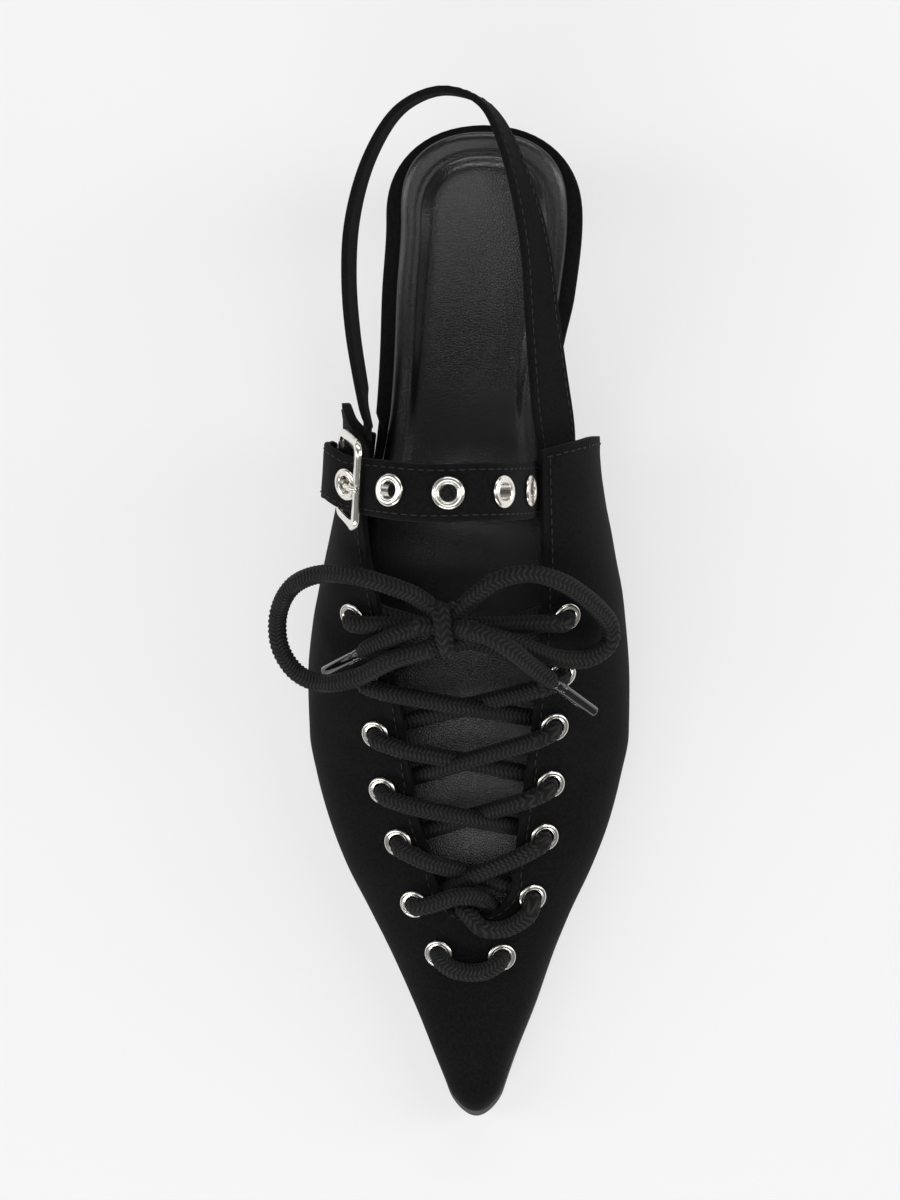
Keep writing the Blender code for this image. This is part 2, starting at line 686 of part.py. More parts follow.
def make_upper(maker):
    """The vamp and both quarters: an outer face and a lining, joined along every edge."""
    bm = bmesh.new()
    faces = [[[bm.verts.new(p) for p in row] for row in upper_grid(depth)] for depth in (0.0, UPPER_WALL)]
    rows, columns = len(faces[0]), len(faces[0][0])
    middle = UP_STEPS
    open_rows = [i for i, (blend, place) in enumerate(upper_rows()) if blend is not None or place < THROAT_END - 1e-9]
    last_open = max(open_rows)

    def quad(*corners):
        if len(set(corners)) == len(corners):
            bm.faces.new(corners)

    for grid in faces:
        for i in range(rows - 1):
            for j in range(columns - 1):
                if j == middle and i <= last_open:
                    continue
                quad(grid[i][j], grid[i][j + 1], grid[i + 1][j + 1], grid[i + 1][j])
    out, lining = faces
    for i in range(rows - 1):
        for j in (0, columns - 1):
            quad(out[i][j], lining[i][j], lining[i + 1][j], out[i + 1][j])
        if i <= last_open:
            for j in (middle, middle + 1):
                quad(out[i][j], lining[i][j], lining[i + 1][j], out[i + 1][j])
    for j in range(columns - 1):
        if j != middle:
            quad(out[0][j], lining[0][j], lining[0][j + 1], out[0][j + 1])
    quad(out[-1][0], lining[-1][0], lining[-1][-1], out[-1][-1])
    for grid in faces:
        nose = grid[-1]
        for j in range(middle):
            quad(nose[j], nose[j + 1], nose[-j - 2], nose[-j - 1])
    obj = finish(maker, "upper", bm, "upper", smooth=50)
    cut_holes(maker, obj, "lace_holes", [eyelet_matrix(i, inner) for i in range(len(EYELET_PAIRS)) for inner in (0, 1)])
    return obj


def facing(point, normal, toward):
    """A matrix whose Z is a normal and whose Y leans towards a direction."""
    z = normal.normalized()
    x = toward.cross(z).normalized()
    return Matrix.Translation(point) @ Matrix((x, z.cross(x), z)).transposed().to_4x4()


def eyelet_matrix(pair, inner):
    row = EYELET_PAIRS[pair]
    across = (row.inner if inner else row.outer) * BALL_WIDTH
    along = (row.inner_along if inner else row.outer_along) * SHOE_LENGTH
    point, normal, up = upper_frame(across, along, bool(inner))
    return facing(point, normal, up)


def cut_away(maker, obj, name, bm):
    """Cuts a closed shape out of an object with a Boolean modifier."""
    mesh = bpy.data.meshes.new(name)
    bm.to_mesh(mesh)
    bm.free()
    cutter = bpy.data.objects.new(name, mesh)
    maker.cutters.objects.link(cutter)
    cutter.hide_render = True
    cutter.display_type = "WIRE"
    cut = obj.modifiers.new(name, "BOOLEAN")
    cut.operation = "DIFFERENCE"
    cut.object = cutter


def cut_holes(maker, obj, name, matrices):
    """Cuts a round hole through a wall for each eyelet's barrel."""
    bm = bmesh.new()
    radius = EYELET_BARREL + CLEARANCE
    for matrix in matrices:
        bmesh.ops.create_cone(
            bm, cap_ends=True, segments=EYELET_SIDES, radius1=radius, radius2=radius, depth=4 * UPPER_WALL, matrix=matrix
        )
    cut_away(maker, obj, name, bm)


def eyelet_mesh(maker, name, wall):
    """A turned eyelet: a rolled crown on the outside, a barrel through the wall and a small flange behind."""
    back = -wall - EYELET_BACK_GAP
    profile = [
        (EYELET_BORE + 0.2 * (EYELET_FLANGE - EYELET_BORE), EYELET_CROWN),
        (EYELET_FLANGE, EYELET_SEAT),
        (EYELET_BARREL, EYELET_SEAT),
        (EYELET_BARREL, back),
        (EYELET_BACK_FLANGE, back - EYELET_ROLL),
        (EYELET_BORE, back - EYELET_ROLL),
    ]
    bm = bmesh.new()
    rings = []
    for i in range(EYELET_SIDES):
        angle = 2 * math.pi * i / EYELET_SIDES
        rings.append([bm.verts.new((r * math.cos(angle), r * math.sin(angle), z)) for r, z in profile])
    for i, ring in enumerate(rings):
        other = rings[(i + 1) % EYELET_SIDES]
        for j in range(len(profile)):
            k = (j + 1) % len(profile)
            bm.faces.new((ring[j], ring[k], other[k], other[j]))
    bmesh.ops.recalc_face_normals(bm, faces=bm.faces)
    mesh = bpy.data.meshes.new(name)
    bm.to_mesh(mesh)
    bm.free()
    mesh.materials.append(maker.materials["metal"])
    mesh.shade_smooth()
    mesh.set_sharp_from_angle(angle=math.radians(35))
    return mesh


def place_mesh(maker, name, mesh, matrix):
    obj = bpy.data.objects.new(name, mesh)
    obj.matrix_world = matrix
    maker.collection.objects.link(obj)


def make_lace_eyelets(maker):
    mesh = eyelet_mesh(maker, "lace_eyelet", UPPER_WALL)
    for pair in range(len(EYELET_PAIRS)):
        for inner, side in enumerate(("outer", "inner")):
            place_mesh(maker, f"lace_eyelet_{side}_{pair + 1}", mesh, eyelet_matrix(pair, inner))


def smooth_line(points, steps):
    """Points on a smooth curve through the given ones, with so many steps between each two."""
    found = []
    ends = [2 * points[0] - points[1]] + list(points) + [2 * points[-1] - points[-2]]
    for i in range(1, len(ends) - 2):
        a, b, c, d = ends[i - 1 : i + 3]
        for k in range(steps):
            t = k / steps
            found.append(
                0.5 * (2 * b + (c - a) * t + (2 * a - 5 * b + 4 * c - d) * t * t + (3 * b - a - 3 * c + d) * t**3)
            )
    return found + [points[-1]]


def even_line(points, count):
    """The same line as so many equal steps."""
    run = [0.0]
    for p, q in zip(points, points[1:]):
        run.append(run[-1] + (q - p).length)
    found, k = [], 0
    for i in range(count + 1):
        goal = run[-1] * i / count
        while k < len(points) - 2 and run[k + 1] < goal:
            k += 1
        t = (goal - run[k]) / (run[k + 1] - run[k])
        found.append(points[k].lerp(points[k + 1], min(1.0, t)))
    return found


def band(maker, name, stations_of_band, thickness, slot):
    """A flat band through stations of (middle, direction across, width). Its face is square to both."""
    middles = [station[0] for station in stations_of_band]
    rings = []
    for i, (middle, across, width) in enumerate(stations_of_band):
        ahead = (middles[min(i + 1, len(middles) - 1)] - middles[max(i - 1, 0)]).normalized()
        side = (across - ahead * across.dot(ahead)).normalized()
        face = ahead.cross(side)
        half, deep = side * width / 2, face * thickness / 2
        rings.append([middle - half - deep, middle + half - deep, middle + half + deep, middle - half + deep])
    return loft(maker, name, rings, slot)


def quarter_seat(along, inner, drop, off):
    """A point off a quarter's outer face, at a distance down from its topline. A negative off is inside."""
    side = Side(along, inner)
    top = side.topline()
    turn, travelled, last = top, 0.0, upper_point(along, inner, top)
    while travelled < drop and turn > 0.05:
        turn -= 0.01
        point = upper_point(along, inner, turn)
        travelled += (point - last).length
        last = point
    point, normal, up = frame_at(along, inner, turn)
    if drop < 0:
        point = point - up * drop
    return point + normal * off, normal, up


def sling_tuck(inner, step):
    """A station of the back strap's end inside a quarter, at a step forward of the quarter's rear edge."""
    side = "inner" if inner else "outer"
    rear = read(REAR_EDGE, side, 0.8, by="height") * SHOE_LENGTH
    deep = UPPER_WALL + CLEARANCE + SLING_STAND_OFF + SLING_THICKNESS / 2
    point, _, up = quarter_seat(rear + step, inner, SLING_DROP, -deep)
    lean = up if inner else Vector((math.sin(SLING_OUTER_LEAN), 0, math.cos(SLING_OUTER_LEAN)))
    return point, lean, (1.55 if inner else 1.4) * SLING_WIDTH


def make_sling(maker):
    """The back strap: narrow behind the heel, wider where it is sewn inside the quarters."""
    seat = feather(0) + BOARD_THICKNESS
    found = [sling_tuck(True, SLING_TUCK), sling_tuck(True, 0)]
    for row in SLING_PATH:
        middle = spot(row.across * BALL_WIDTH, row.along * SHOE_LENGTH, seat + row.height * SLING_RISE)
        lean = math.radians(row.lean)
        found.append((middle, Vector((-math.sin(lean), 0, math.cos(lean))), row.width * SLING_WIDTH))
    found += [sling_tuck(False, 0), sling_tuck(False, SLING_TUCK)]
    steps = 2
    middles = smooth_line([f[0] for f in found], steps)
    leans = smooth_line([f[1] for f in found], steps)
    widths = smooth_line([Vector((f[2], 0, 0)) for f in found], steps)
    band(maker, "sling", [(m, a, w.x) for m, a, w in zip(middles, leans, widths)], SLING_THICKNESS, "upper")


def strap_stack():
    """Stand-offs from the outer quarter: the base bar's middle, and the strap's over the bar and down the side."""
    roll = BAR_RADIUS + 2 * CLEARANCE + KEEPER_THICKNESS
    bar = CLEARANCE + roll
    half = STRAP_THICKNESS / 2
    return {"bar": bar, "over": bar + roll + 2 * CLEARANCE + half, "down": 4 * CLEARANCE + KEEPER_THICKNESS + half}


def strap_offsets():
    """Stations of the strap's middle on the outer side: place along, distance below the topline, stand-off."""
    over, down = strap_stack()["over"], strap_stack()["down"]
    settled = BUCKLE_DROP + STRAP_SETTLE
    stations_down = [
        (-HOLE_ABOVE_TOPLINE, over),
        (0.3 * BUCKLE_DROP, over + STRAP_THICKNESS / 2),
        (BUCKLE_DROP, over),
        (BUCKLE_DROP + STRAP_SETTLE / 2, 0.6 * over + 0.4 * down),
        (settled, down),
        ((settled + STRAP_TAIL) / 2, down),
        (STRAP_TAIL, down),
    ]
    found = []
    for drop, off in stations_down:
        top = ease(-HOLE_ABOVE_TOPLINE, BUCKLE_DROP, drop)
        low = ease(BUCKLE_DROP, STRAP_TAIL, drop)
        place = STRAP_HOLE_ALONG + (STRAP_BUCKLE_ALONG - STRAP_HOLE_ALONG) * top
        place += (STRAP_TAIL_ALONG - STRAP_BUCKLE_ALONG) * low
        found.append((place * SHOE_LENGTH, drop, off))
    return found


def quarter_bed(along, inner, drop, off, reach):
    """A seat for a flat strap on a quarter, clear of it at both edges, and the direction across the strap."""
    point, normal, _ = quarter_seat(along, inner, drop, off)
    heel, toe = (quarter_seat(along + step, inner, drop, off)[0] for step in (-reach, reach))
    hollow = ((heel + toe) / 2 - point).dot(normal)
    lift = max(0.0, hollow) if off > 0 else min(0.0, hollow)
    return point + normal * lift, (heel - toe).normalized()


def strap_line():
    """The instep strap from inside the inner quarter to its tail: middle points and directions across."""
    inside = -(UPPER_WALL + 2.5 * CLEARANCE + STRAP_THICKNESS / 2)
    along = STRAP_SPAN[0].along * SHOE_LENGTH
    reach = STRAP_WIDTH / 2
    found = [quarter_bed(along, True, drop, inside, reach) for drop in (STRAP_TUCK, 0.5 * STRAP_TUCK, -0.5 * MM)]
    for row in STRAP_SPAN:
        place = row.along * SHOE_LENGTH
        middle = spot(row.across * BALL_WIDTH, place, feather(place) + row.height * STRAP_ARCH)
        found.append((middle, Vector((0, 1, 0))))
    for place, drop, off in strap_offsets():
        found.append(quarter_bed(place, False, drop, off, reach))
    return [smooth_line([pair[k] for pair in found], STRAP_STEPS) for k in (0, 1)]


def strap_frame(line, across, distance):
    """A frame on the strap's outer face, at a distance from the prong's hole towards the instep."""
    start = len(line) - 1 - STRAP_STEPS * (len(strap_offsets()) - 1)
    k, run = start, 0.0
    while run < distance:
        run += (line[k - 1] - line[k]).length
        k -= 1
    ahead = (line[k + 1] - line[k - 1]).normalized()
    side = (across[k] - ahead * across[k].dot(ahead)).normalized()
    return facing(line[k] + side.cross(ahead) * STRAP_THICKNESS / 2, side.cross(ahead), side)


def strap_hole_matrices(line, across):
    return [strap_frame(line, across, number * STRAP_EYELET_PITCH) for number in range(STRAP_EYELETS)]


def make_instep_strap(maker):
    line, across = strap_line()
    kept = list(range(0, len(line), 4))
    if kept[-1] != len(line) - 1:
        kept.append(len(line) - 1)
    found = []
    for i in kept:
        left = sum((line[k + 1] - line[k]).length for k in range(i, len(line) - 1))
        point_share = min(1.0, left / STRAP_POINT)
        round_share = math.sqrt(1 - (1 - point_share) ** 2)
        width = STRAP_WIDTH * (STRAP_POINT_SHARE + (1 - STRAP_POINT_SHARE) * round_share)
        found.append((line[i], across[i], width))
    strap = band(maker, "instep_strap", found, STRAP_THICKNESS, "upper")
    matrices = strap_hole_matrices(line, across)
    cut_holes(maker, strap, "strap_holes", matrices)
    mesh = eyelet_mesh(maker, "strap_eyelet", STRAP_THICKNESS)
    for number, matrix in enumerate(matrices):
        place_mesh(maker, f"strap_eyelet_{number + 1}", mesh, matrix)


def tube(maker, name, points, radius, slot, cyclic=False, sides=2):
    """A round wire along points, as a curve with filled ends."""
    curve = bpy.data.curves.new(name, "CURVE")
    curve.dimensions = "3D"
    spline = curve.splines.new("POLY")
    spline.points.add(len(points) - 1)
    for target, point in zip(spline.points, points):
        target.co = (*point, 1)
    spline.use_cyclic_u = cyclic
    spline.use_smooth = True
    curve.bevel_depth = radius
    curve.bevel_resolution = sides
    curve.use_fill_caps = True
    curve.materials.append(maker.materials[slot])
    obj = bpy.data.objects.new(name, curve)
    maker.collection.objects.link(obj)
    return obj


def as_mesh(maker, obj):
    """The mesh of a wire, closed at its ends, in place of the curve."""
    graph = bpy.context.evaluated_depsgraph_get()
    graph.update()
    mesh = bpy.data.meshes.new_from_object(obj.evaluated_get(graph))
    bm = bmesh.new()
    bm.from_mesh(mesh)
    bmesh.ops.remove_doubles(bm, verts=bm.verts, dist=1e-6)
    bm.to_mesh(mesh)
    bm.free()
    name, slot_material = obj.name, obj.data.materials[0]
    bpy.data.objects.remove(obj)
    made = bpy.data.objects.new(name, mesh)
    maker.collection.objects.link(made)
    mesh.materials.clear()
    mesh.materials.append(slot_material)
    return made


def join_wires(maker, name, wires):
    """One solid from wires that cross, by a union on the first."""
    meshes = [as_mesh(maker, wire) for wire in wires]
    first = meshes[0]
    first.name = name
    for other in meshes[1:]:
        maker.collection.objects.unlink(other)
        maker.cutters.objects.link(other)
        other.hide_render = True
        other.display_type = "WIRE"
        union = first.modifiers.new("join", "BOOLEAN")
        union.operation = "UNION"
        union.object = other
    return first


def buckle_bed(drop, off):
    return quarter_bed(STRAP_BUCKLE_ALONG * SHOE_LENGTH, False, drop, off, STRAP_WIDTH / 2)


def make_buckle(maker):
    """A rigid frame from the base bar on the quarter to the front bar on the strap, with its prong and keeper."""
    base, run = buckle_bed(BUCKLE_DROP, strap_stack()["bar"])
    front = strap_frame(*strap_line(), HOLE_TO_FRONT_BAR) @ Vector((0, 0, BAR_RADIUS + 2 * CLEARANCE))
    length = (front - base).length
    ahead = (front - base).normalized()
    side = (run - ahead * run.dot(ahead)).normalized()
    points = []
    for corner in range(4):
        centre_ahead = FRAME_CORNER if corner in (0, 3) else length - FRAME_CORNER
        centre_side = (FRAME_HALF_WIDTH - FRAME_CORNER) * (1 if corner in (2, 3) else -1)
        for i in range(4):
            angle = math.radians(180 + 90 * (corner + i / 3))
            along = centre_ahead + FRAME_CORNER * math.cos(angle)
            across = centre_side + FRAME_CORNER * math.sin(angle)
            points.append(base + ahead * along + side * across)
    tube(maker, "buckle_frame", points, BAR_RADIUS, "metal", cyclic=True)
    make_prong(maker, base + ahead * (BAR_RADIUS + CLEARANCE + PRONG_RADIUS), front)
    make_keeper(maker)


def make_prong(maker, start, front):
    """The prong: from the base bar, up through the strap's first eyelet, to rest over the front bar."""
    hole = strap_frame(*strap_line(), 0)
    room = EYELET_BORE - PRONG_RADIUS - 2 * CLEARANCE
    inside = STRAP_THICKNESS + EYELET_BACK_GAP + EYELET_ROLL
    line = [start]
    for x, z in ((-room - PRONG_RUN_IN, -inside - PRONG_DIP), (-room, -inside), (room * 0.8, EYELET_CROWN)):
        line.append(hole @ Vector((x, 0, z)))
    reach = BAR_RADIUS + 1.6 * CLEARANCE + PRONG_RADIUS
    local = hole.inverted() @ front
    for degrees in (150, 100):
        angle = math.radians(degrees)
        line.append(hole @ (local + reach * Vector((math.cos(angle), 0, math.sin(angle)))))
    line.append(hole @ (local + Vector((BAR_RADIUS * 2.4, 0, reach * 0.8))))
    tube(maker, "buckle_prong", even_line(smooth_line(line, 8), 18), PRONG_RADIUS, "metal")


def make_keeper(maker):
    """A short strap sewn to the outer quarter, rolled round the frame's base bar, with a slot for the prong."""
    bar = strap_stack()["bar"]
    radius = BAR_RADIUS + 2 * CLEARANCE + KEEPER_THICKNESS / 2
    flat = 1.5 * CLEARANCE + KEEPER_THICKNESS / 2
    line = []
    for i in range(10):
        angle = math.radians(75 + 19.5 * i)
        line.append((BUCKLE_DROP + radius * math.cos(angle), bar + radius * math.sin(angle)))
    line += [(BUCKLE_DROP + KEEPER_LENGTH * share, flat) for share in (0.12, 0.3, 0.55, 0.78, 1.0)]
    found = [(*buckle_bed(drop, off), KEEPER_WIDTH) for drop, off in line]
    keeper = band(maker, "buckle_keeper", found, KEEPER_THICKNESS, "upper")
    middle, run = buckle_bed(BUCKLE_DROP - radius, bar)
    up = buckle_bed(BUCKLE_DROP - radius, 2 * bar)[0] - middle
    slot = 2 * (PRONG_RADIUS + 3 * CLEARANCE)
    bm = bmesh.new()
    size = Matrix.Diagonal((2.4 * radius, slot, 4 * radius, 1))
    bmesh.ops.create_cube(bm, size=1, matrix=facing(middle, up, run) @ size)
    cut_away(maker, keeper, "prong_slot", bm)
    keeper.modifiers["prong_slot"].solver = "MANIFOLD"


def flap(across, along, off):
    """A point over the upper at a place in plan, or under its lining with a negative stand-off."""
    inner = across > read(LAST, "crown", along / SHOE_LENGTH) * BALL_WIDTH
    point, normal, _ = upper_frame(across, along, inner)
    return point + normal * off


def in_throat(across, along):
    if along >= THROAT_END:
        return False
    return Side(along, False).throat < across < Side(along, True).throat


def eyelet_plan(pair, inner):
    row = EYELET_PAIRS[pair]
    if inner:
        return row.inner * BALL_WIDTH, row.inner_along * SHOE_LENGTH
    return row.outer * BALL_WIDTH, row.outer_along * SHOE_LENGTH


def plan_line(start, end, bend, rush=1.0):
    """Places from one eyelet to another, drawn towards the toe or the heel in the middle.

    With a rush above 1 the line goes across first and along at its end.
    """
    found = []
    for i in range(PLAN_STEPS + 1):
        t = i / PLAN_STEPS
        across = start[0] + (end[0] - start[0]) * (1 - (1 - t) ** rush)
        along = start[1] + (end[1] - start[1]) * t + 4 * bend * t * (1 - t)
        found.append((across, along))
    return found


def on_flap(place, eyelet):
    """The cord's middle on the flap at a place, raised where it still lies on the eyelet's crown."""
    distance = math.hypot(place[0] - eyelet[0], place[1] - eyelet[1])
    crown = 1 - ease(EYELET_BARREL, EYELET_FLANGE + LACE_DIAMETER, distance)
    return flap(*place, OVER + CLEARANCE + EYELET_CROWN * crown)


def under_end(places, last):
    """The last place of a strand below the lining, short of the eyelet's back flange."""
    reach = EYELET_BACK_FLANGE + 3 * CLEARANCE
    goal = places[-1]
    near = [i for i, p in enumerate(places) if math.hypot(p[0] - goal[0], p[1] - goal[1]) > reach]
    return max(near[-1], last + 2)


def strand(pair, inner, lift):
    """From an eyelet's crown over the flap, across the throat and under the other flap to the next eyelet."""
    start, end = eyelet_plan(pair, inner), eyelet_plan(pair + 1, not inner)
    bend = CROSS_BEND[pair] * SHOE_LENGTH
    places = plan_line(start, end, bend, rush=BEND_RUSH if bend else 1.0)
    inside = [i for i, place in enumerate(places) if in_throat(*place)]
    first, last = inside[0], inside[-1]
    stop = under_end(places, last)
    edge, far = on_flap(places[first], start), flap(*places[last], -UNDER - CLEARANCE)
    middle = edge.lerp(far, 0.5) + Vector((0, 0, lift))
    line = [on_flap(start, start), on_flap(places[first // 2], start), edge]
    line += [middle, far, flap(*places[(last + stop) // 2], -UNDER - CLEARANCE)]
    line.append(flap(*places[stop], -UNDER - 2 * CLEARANCE))
    return even_line(smooth_line(line, 6), STRAND_STEPS)


def lower_strand(inner):
    """From under one eyelet of the second pair, inside, to under the other side's first one."""
    places = plan_line(eyelet_plan(1, inner), eyelet_plan(0, not inner), 0)
    stop = under_end(places, 0)
    start = len(places) - 1 - stop
    inside = [i for i, place in enumerate(places) if in_throat(*place)]
    low = -UNDER - 2 * CLEARANCE
    line = [flap(*places[i], low) for i in (start, inside[0])]
    ends = [flap(*places[i], low) for i in (inside[-1], stop)]
    middle = line[-1].lerp(ends[0], 0.5) + Vector((0, 0, -LOWER_SAG if inner else LACE_DIAMETER / 2 - LOWER_SAG))
    return even_line(smooth_line(line + [middle] + ends, 6), STRAND_STEPS)


def make_crossings(maker):
    """Each pair of strands that cross in the throat, as one solid."""
    radius = LACE_DIAMETER / 2
    for pair in range(len(EYELET_PAIRS) - 1):
        name = f"lace_cross_{pair + 1}"
        wires = []
        for inner in (False, True):
            over = inner == (pair in INNER_STRAND_ON_TOP)
            line = lower_strand(inner) if pair == 0 else strand(pair, inner, CROSS_LIFT if over else -CROSS_LIFT)
            wires.append(tube(maker, f"{name}_{'inner' if inner else 'outer'}", line, radius, "lace"))
        join_wires(maker, name, wires)
    last = len(EYELET_PAIRS) - 1
    ends = [eyelet_plan(last, inner) for inner in (False, True)]
    places = plan_line(*ends, BAR_DROOP)
    kept = range(0, PLAN_STEPS + 1, 5)
    line = [on_flap(places[i], ends[i > PLAN_STEPS / 2]) for i in kept]
    tube(maker, "lace_bar", even_line(smooth_line(line, 4), 8), radius, "lace")


def knot_side(turn, rise, distance):
    """A point beside the knot: turned from the inner side towards the toe, raised, and at a distance."""
    turn, rise = math.radians(turn), math.radians(rise)
    away = Vector((math.cos(turn) * math.cos(rise), -math.sin(turn) * math.cos(rise), math.sin(rise)))
    return spot(*KNOT) + away * distance


def make_leads(maker):
    """The lace from the top eyelets over the flaps and down into the underside of the knot."""
    for inner in (False, True):
        start = eyelet_plan(0, inner)
        places = plan_line(start, KNOT[:2], 0)
        first = next(i for i, place in enumerate(places) if in_throat(*place))
        line = [on_flap(places[i], start) for i in (0, first // 2, first)]
        turn = LEAD_TURN if inner else 180 - LEAD_TURN
        line += [knot_side(turn, LEAD_RISE, KNOT_RADIUS + gap) for gap in (LEAD_BELOW_KNOT, CLEARANCE)]
        name = f"lace_lead_{'inner' if inner else 'outer'}"
        tube(maker, name, even_line(smooth_line(line, 6), STRAND_STEPS), LACE_DIAMETER / 2, "lace")


def make_bow(maker):
    """The knot with its two loops and two ends, each end with its aglet."""
    bm = bmesh.new()
    place = Matrix.Translation(spot(*KNOT)) @ Matrix.Diagonal((1, 1, KNOT_FLATNESS, 1))
    bmesh.ops.create_uvsphere(bm, u_segments=12, v_segments=8, radius=KNOT_RADIUS, matrix=place)
    finish(maker, "lace_knot", bm, "lace", smooth=60)
    for name, route in BOW.items():
        line = [spot(*(value * MM for value in point)) for point in route]
        steps = 2 if "loop" in name else 3
        tube(maker, name, smooth_line(line, steps), LACE_DIAMETER / 2, "lace")
        if "end" in name:
            ahead = (line[-1] - line[-2]).normalized()
            ends = [line[-1] + ahead * reach for reach in (CLEARANCE, AGLET_LENGTH + CLEARANCE)]
            tube(maker, name.replace("lace_end", "aglet"), ends, AGLET_DIAMETER / 2, "aglet")


def make_materials():
    """Plain finishes in the colours of the real surfaces."""
    finishes = {
        "upper": ((0.012, 0.011, 0.012), 0.85, 0.0),
        "insole": ((0.014, 0.014, 0.016), 0.38, 0.0),
        "sole": ((0.010, 0.010, 0.010), 0.30, 0.0),
        "heel": ((0.012, 0.011, 0.012), 0.80, 0.0),
        "tip": ((0.010, 0.010, 0.010), 0.55, 0.0),
        "lace": ((0.013, 0.013, 0.012), 0.80, 0.0),
        "metal": ((0.86, 0.84, 0.80), 0.18, 1.0),
        "aglet": ((0.02, 0.02, 0.02), 0.15, 0.0),
    }
    made = {}
    for name, (colour, roughness, metallic) in finishes.items():
        material = bpy.data.materials.new(name)
        material.use_nodes = True
        shader = material.node_tree.nodes["Principled BSDF"]
        shader.inputs["Base Color"].default_value = (*colour, 1)
        shader.inputs["Roughness"].default_value = roughness
        shader.inputs["Metallic"].default_value = metallic
        material.diffuse_color = (*colour, 1)
        made[name] = material
    return made


def new_collection(name):
    made = bpy.data.collections.new(name)
    bpy.context.scene.collection.children.link(made)
    return made


def main():
    for obj in list(bpy.data.objects):
        bpy.data.objects.remove(obj)
    maker = Maker(new_collection("slingback_shoe"), new_collection("cutters"), make_materials())
    make_outsole(maker)
    make_board(maker)
    make_sock(maker)
    make_heel(maker)
    make_upper(maker)
    make_lace_eyelets(maker)
    make_sling(maker)
    make_instep_strap(maker)
    make_buckle(maker)
    make_crossings(maker)
    make_leads(maker)
    make_bow(maker)


main()
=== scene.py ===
"""Looks of a pointed lace-up slingback with a kitten heel, the wearer's right shoe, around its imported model.

Metres, +Z up, the floor at Z = 0, the toe towards -Y and the inner side of the foot towards +X.
Places along the shoe run from the back of the seat to the tip of the toe.
"""

from __future__ import annotations

import logging
from bisect import bisect_right
from dataclasses import dataclass, field
from enum import Enum
from functools import lru_cache, partial
from math import copysign, cos, exp, floor, hypot, pi, radians, sin, sqrt
from typing import Callable, Sequence

import bpy
from mathutils import Matrix, Vector


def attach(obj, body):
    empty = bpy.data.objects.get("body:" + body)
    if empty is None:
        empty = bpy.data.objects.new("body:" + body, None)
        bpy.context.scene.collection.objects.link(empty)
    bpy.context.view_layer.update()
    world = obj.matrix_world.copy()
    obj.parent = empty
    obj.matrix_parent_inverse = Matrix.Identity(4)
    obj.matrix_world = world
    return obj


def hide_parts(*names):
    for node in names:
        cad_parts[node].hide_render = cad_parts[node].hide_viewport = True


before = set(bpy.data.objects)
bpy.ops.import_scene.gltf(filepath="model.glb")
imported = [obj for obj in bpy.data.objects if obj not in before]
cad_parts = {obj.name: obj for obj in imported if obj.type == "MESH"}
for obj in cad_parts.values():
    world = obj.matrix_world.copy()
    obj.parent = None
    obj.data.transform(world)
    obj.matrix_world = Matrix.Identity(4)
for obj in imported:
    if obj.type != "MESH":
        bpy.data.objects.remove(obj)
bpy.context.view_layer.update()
MM = 0.001
MERGE = 0.002 * MM
LOG = logging.getLogger("shoe")

Piece = bpy.types.Object
Pair = tuple[float, float]
Triple = tuple[float, float, float]
Ring = list[Vector]
Station = tuple[Vector, Vector, float]
SIDES = ((False, "outer"), (True, "inner"))


class Table:
    """Rows of shares, read by a column's name on a smooth line that never overshoots them."""

    def __init__(self, columns: str, *rows: Sequence[float]) -> None:
        """Keeps the rows as columns.

        Args:
            columns: the columns' names, with spaces between.
            rows: one sequence of numbers for each row.
        """
        self._columns = {name: [row[i] for row in rows] for i, name in enumerate(columns.split())}
        self._slopes: dict[tuple[str, str], list[float]] = {}

    def _gradients(self, xs: list[float], ys: list[float]) -> list[float]:
        """Slopes at the rows of a monotone cubic.

        Args:
            xs: places.
            ys: values.

        Returns:
            One slope for each row.
        """
        steps = [(ys[i + 1] - ys[i]) / (xs[i + 1] - xs[i]) for i in range(len(xs) - 1)]
        found = [steps[0]]
        for i in range(1, len(steps)):
            if steps[i - 1] * steps[i] <= 0:
                found.append(0.0)
                continue
            before, after = xs[i] - xs[i - 1], xs[i + 1] - xs[i]
            wide, thin = 2 * after + before, after + 2 * before
            found.append((wide + thin) / (wide / steps[i - 1] + thin / steps[i]))
        return found + [steps[-1]]

    def read(self, column: str, place: float, by: str = "along") -> float:
        """The value of a column at a place.

        Args:
            column: the column to read.
            place: where, in the column that the rows are ordered by.
            by: the name of that ordering column.

        Returns:
            The value there.
        """
        xs, ys = self._columns[by], self._columns[column]
        if place <= xs[0]:
            return ys[0]
        if place >= xs[-1]:
            return ys[-1]
        slopes = self._slopes.setdefault((column, by), self._gradients(xs, ys))
        i = bisect_right(xs, place) - 1
        h = xs[i + 1] - xs[i]
        t = (place - xs[i]) / h
        start = ys[i] * (1 + 2 * t) * (1 - t) ** 2 + h * slopes[i] * t * (1 - t) ** 2
        return start + ys[i + 1] * t * t * (3 - 2 * t) + h * slopes[i + 1] * t * t * (t - 1)


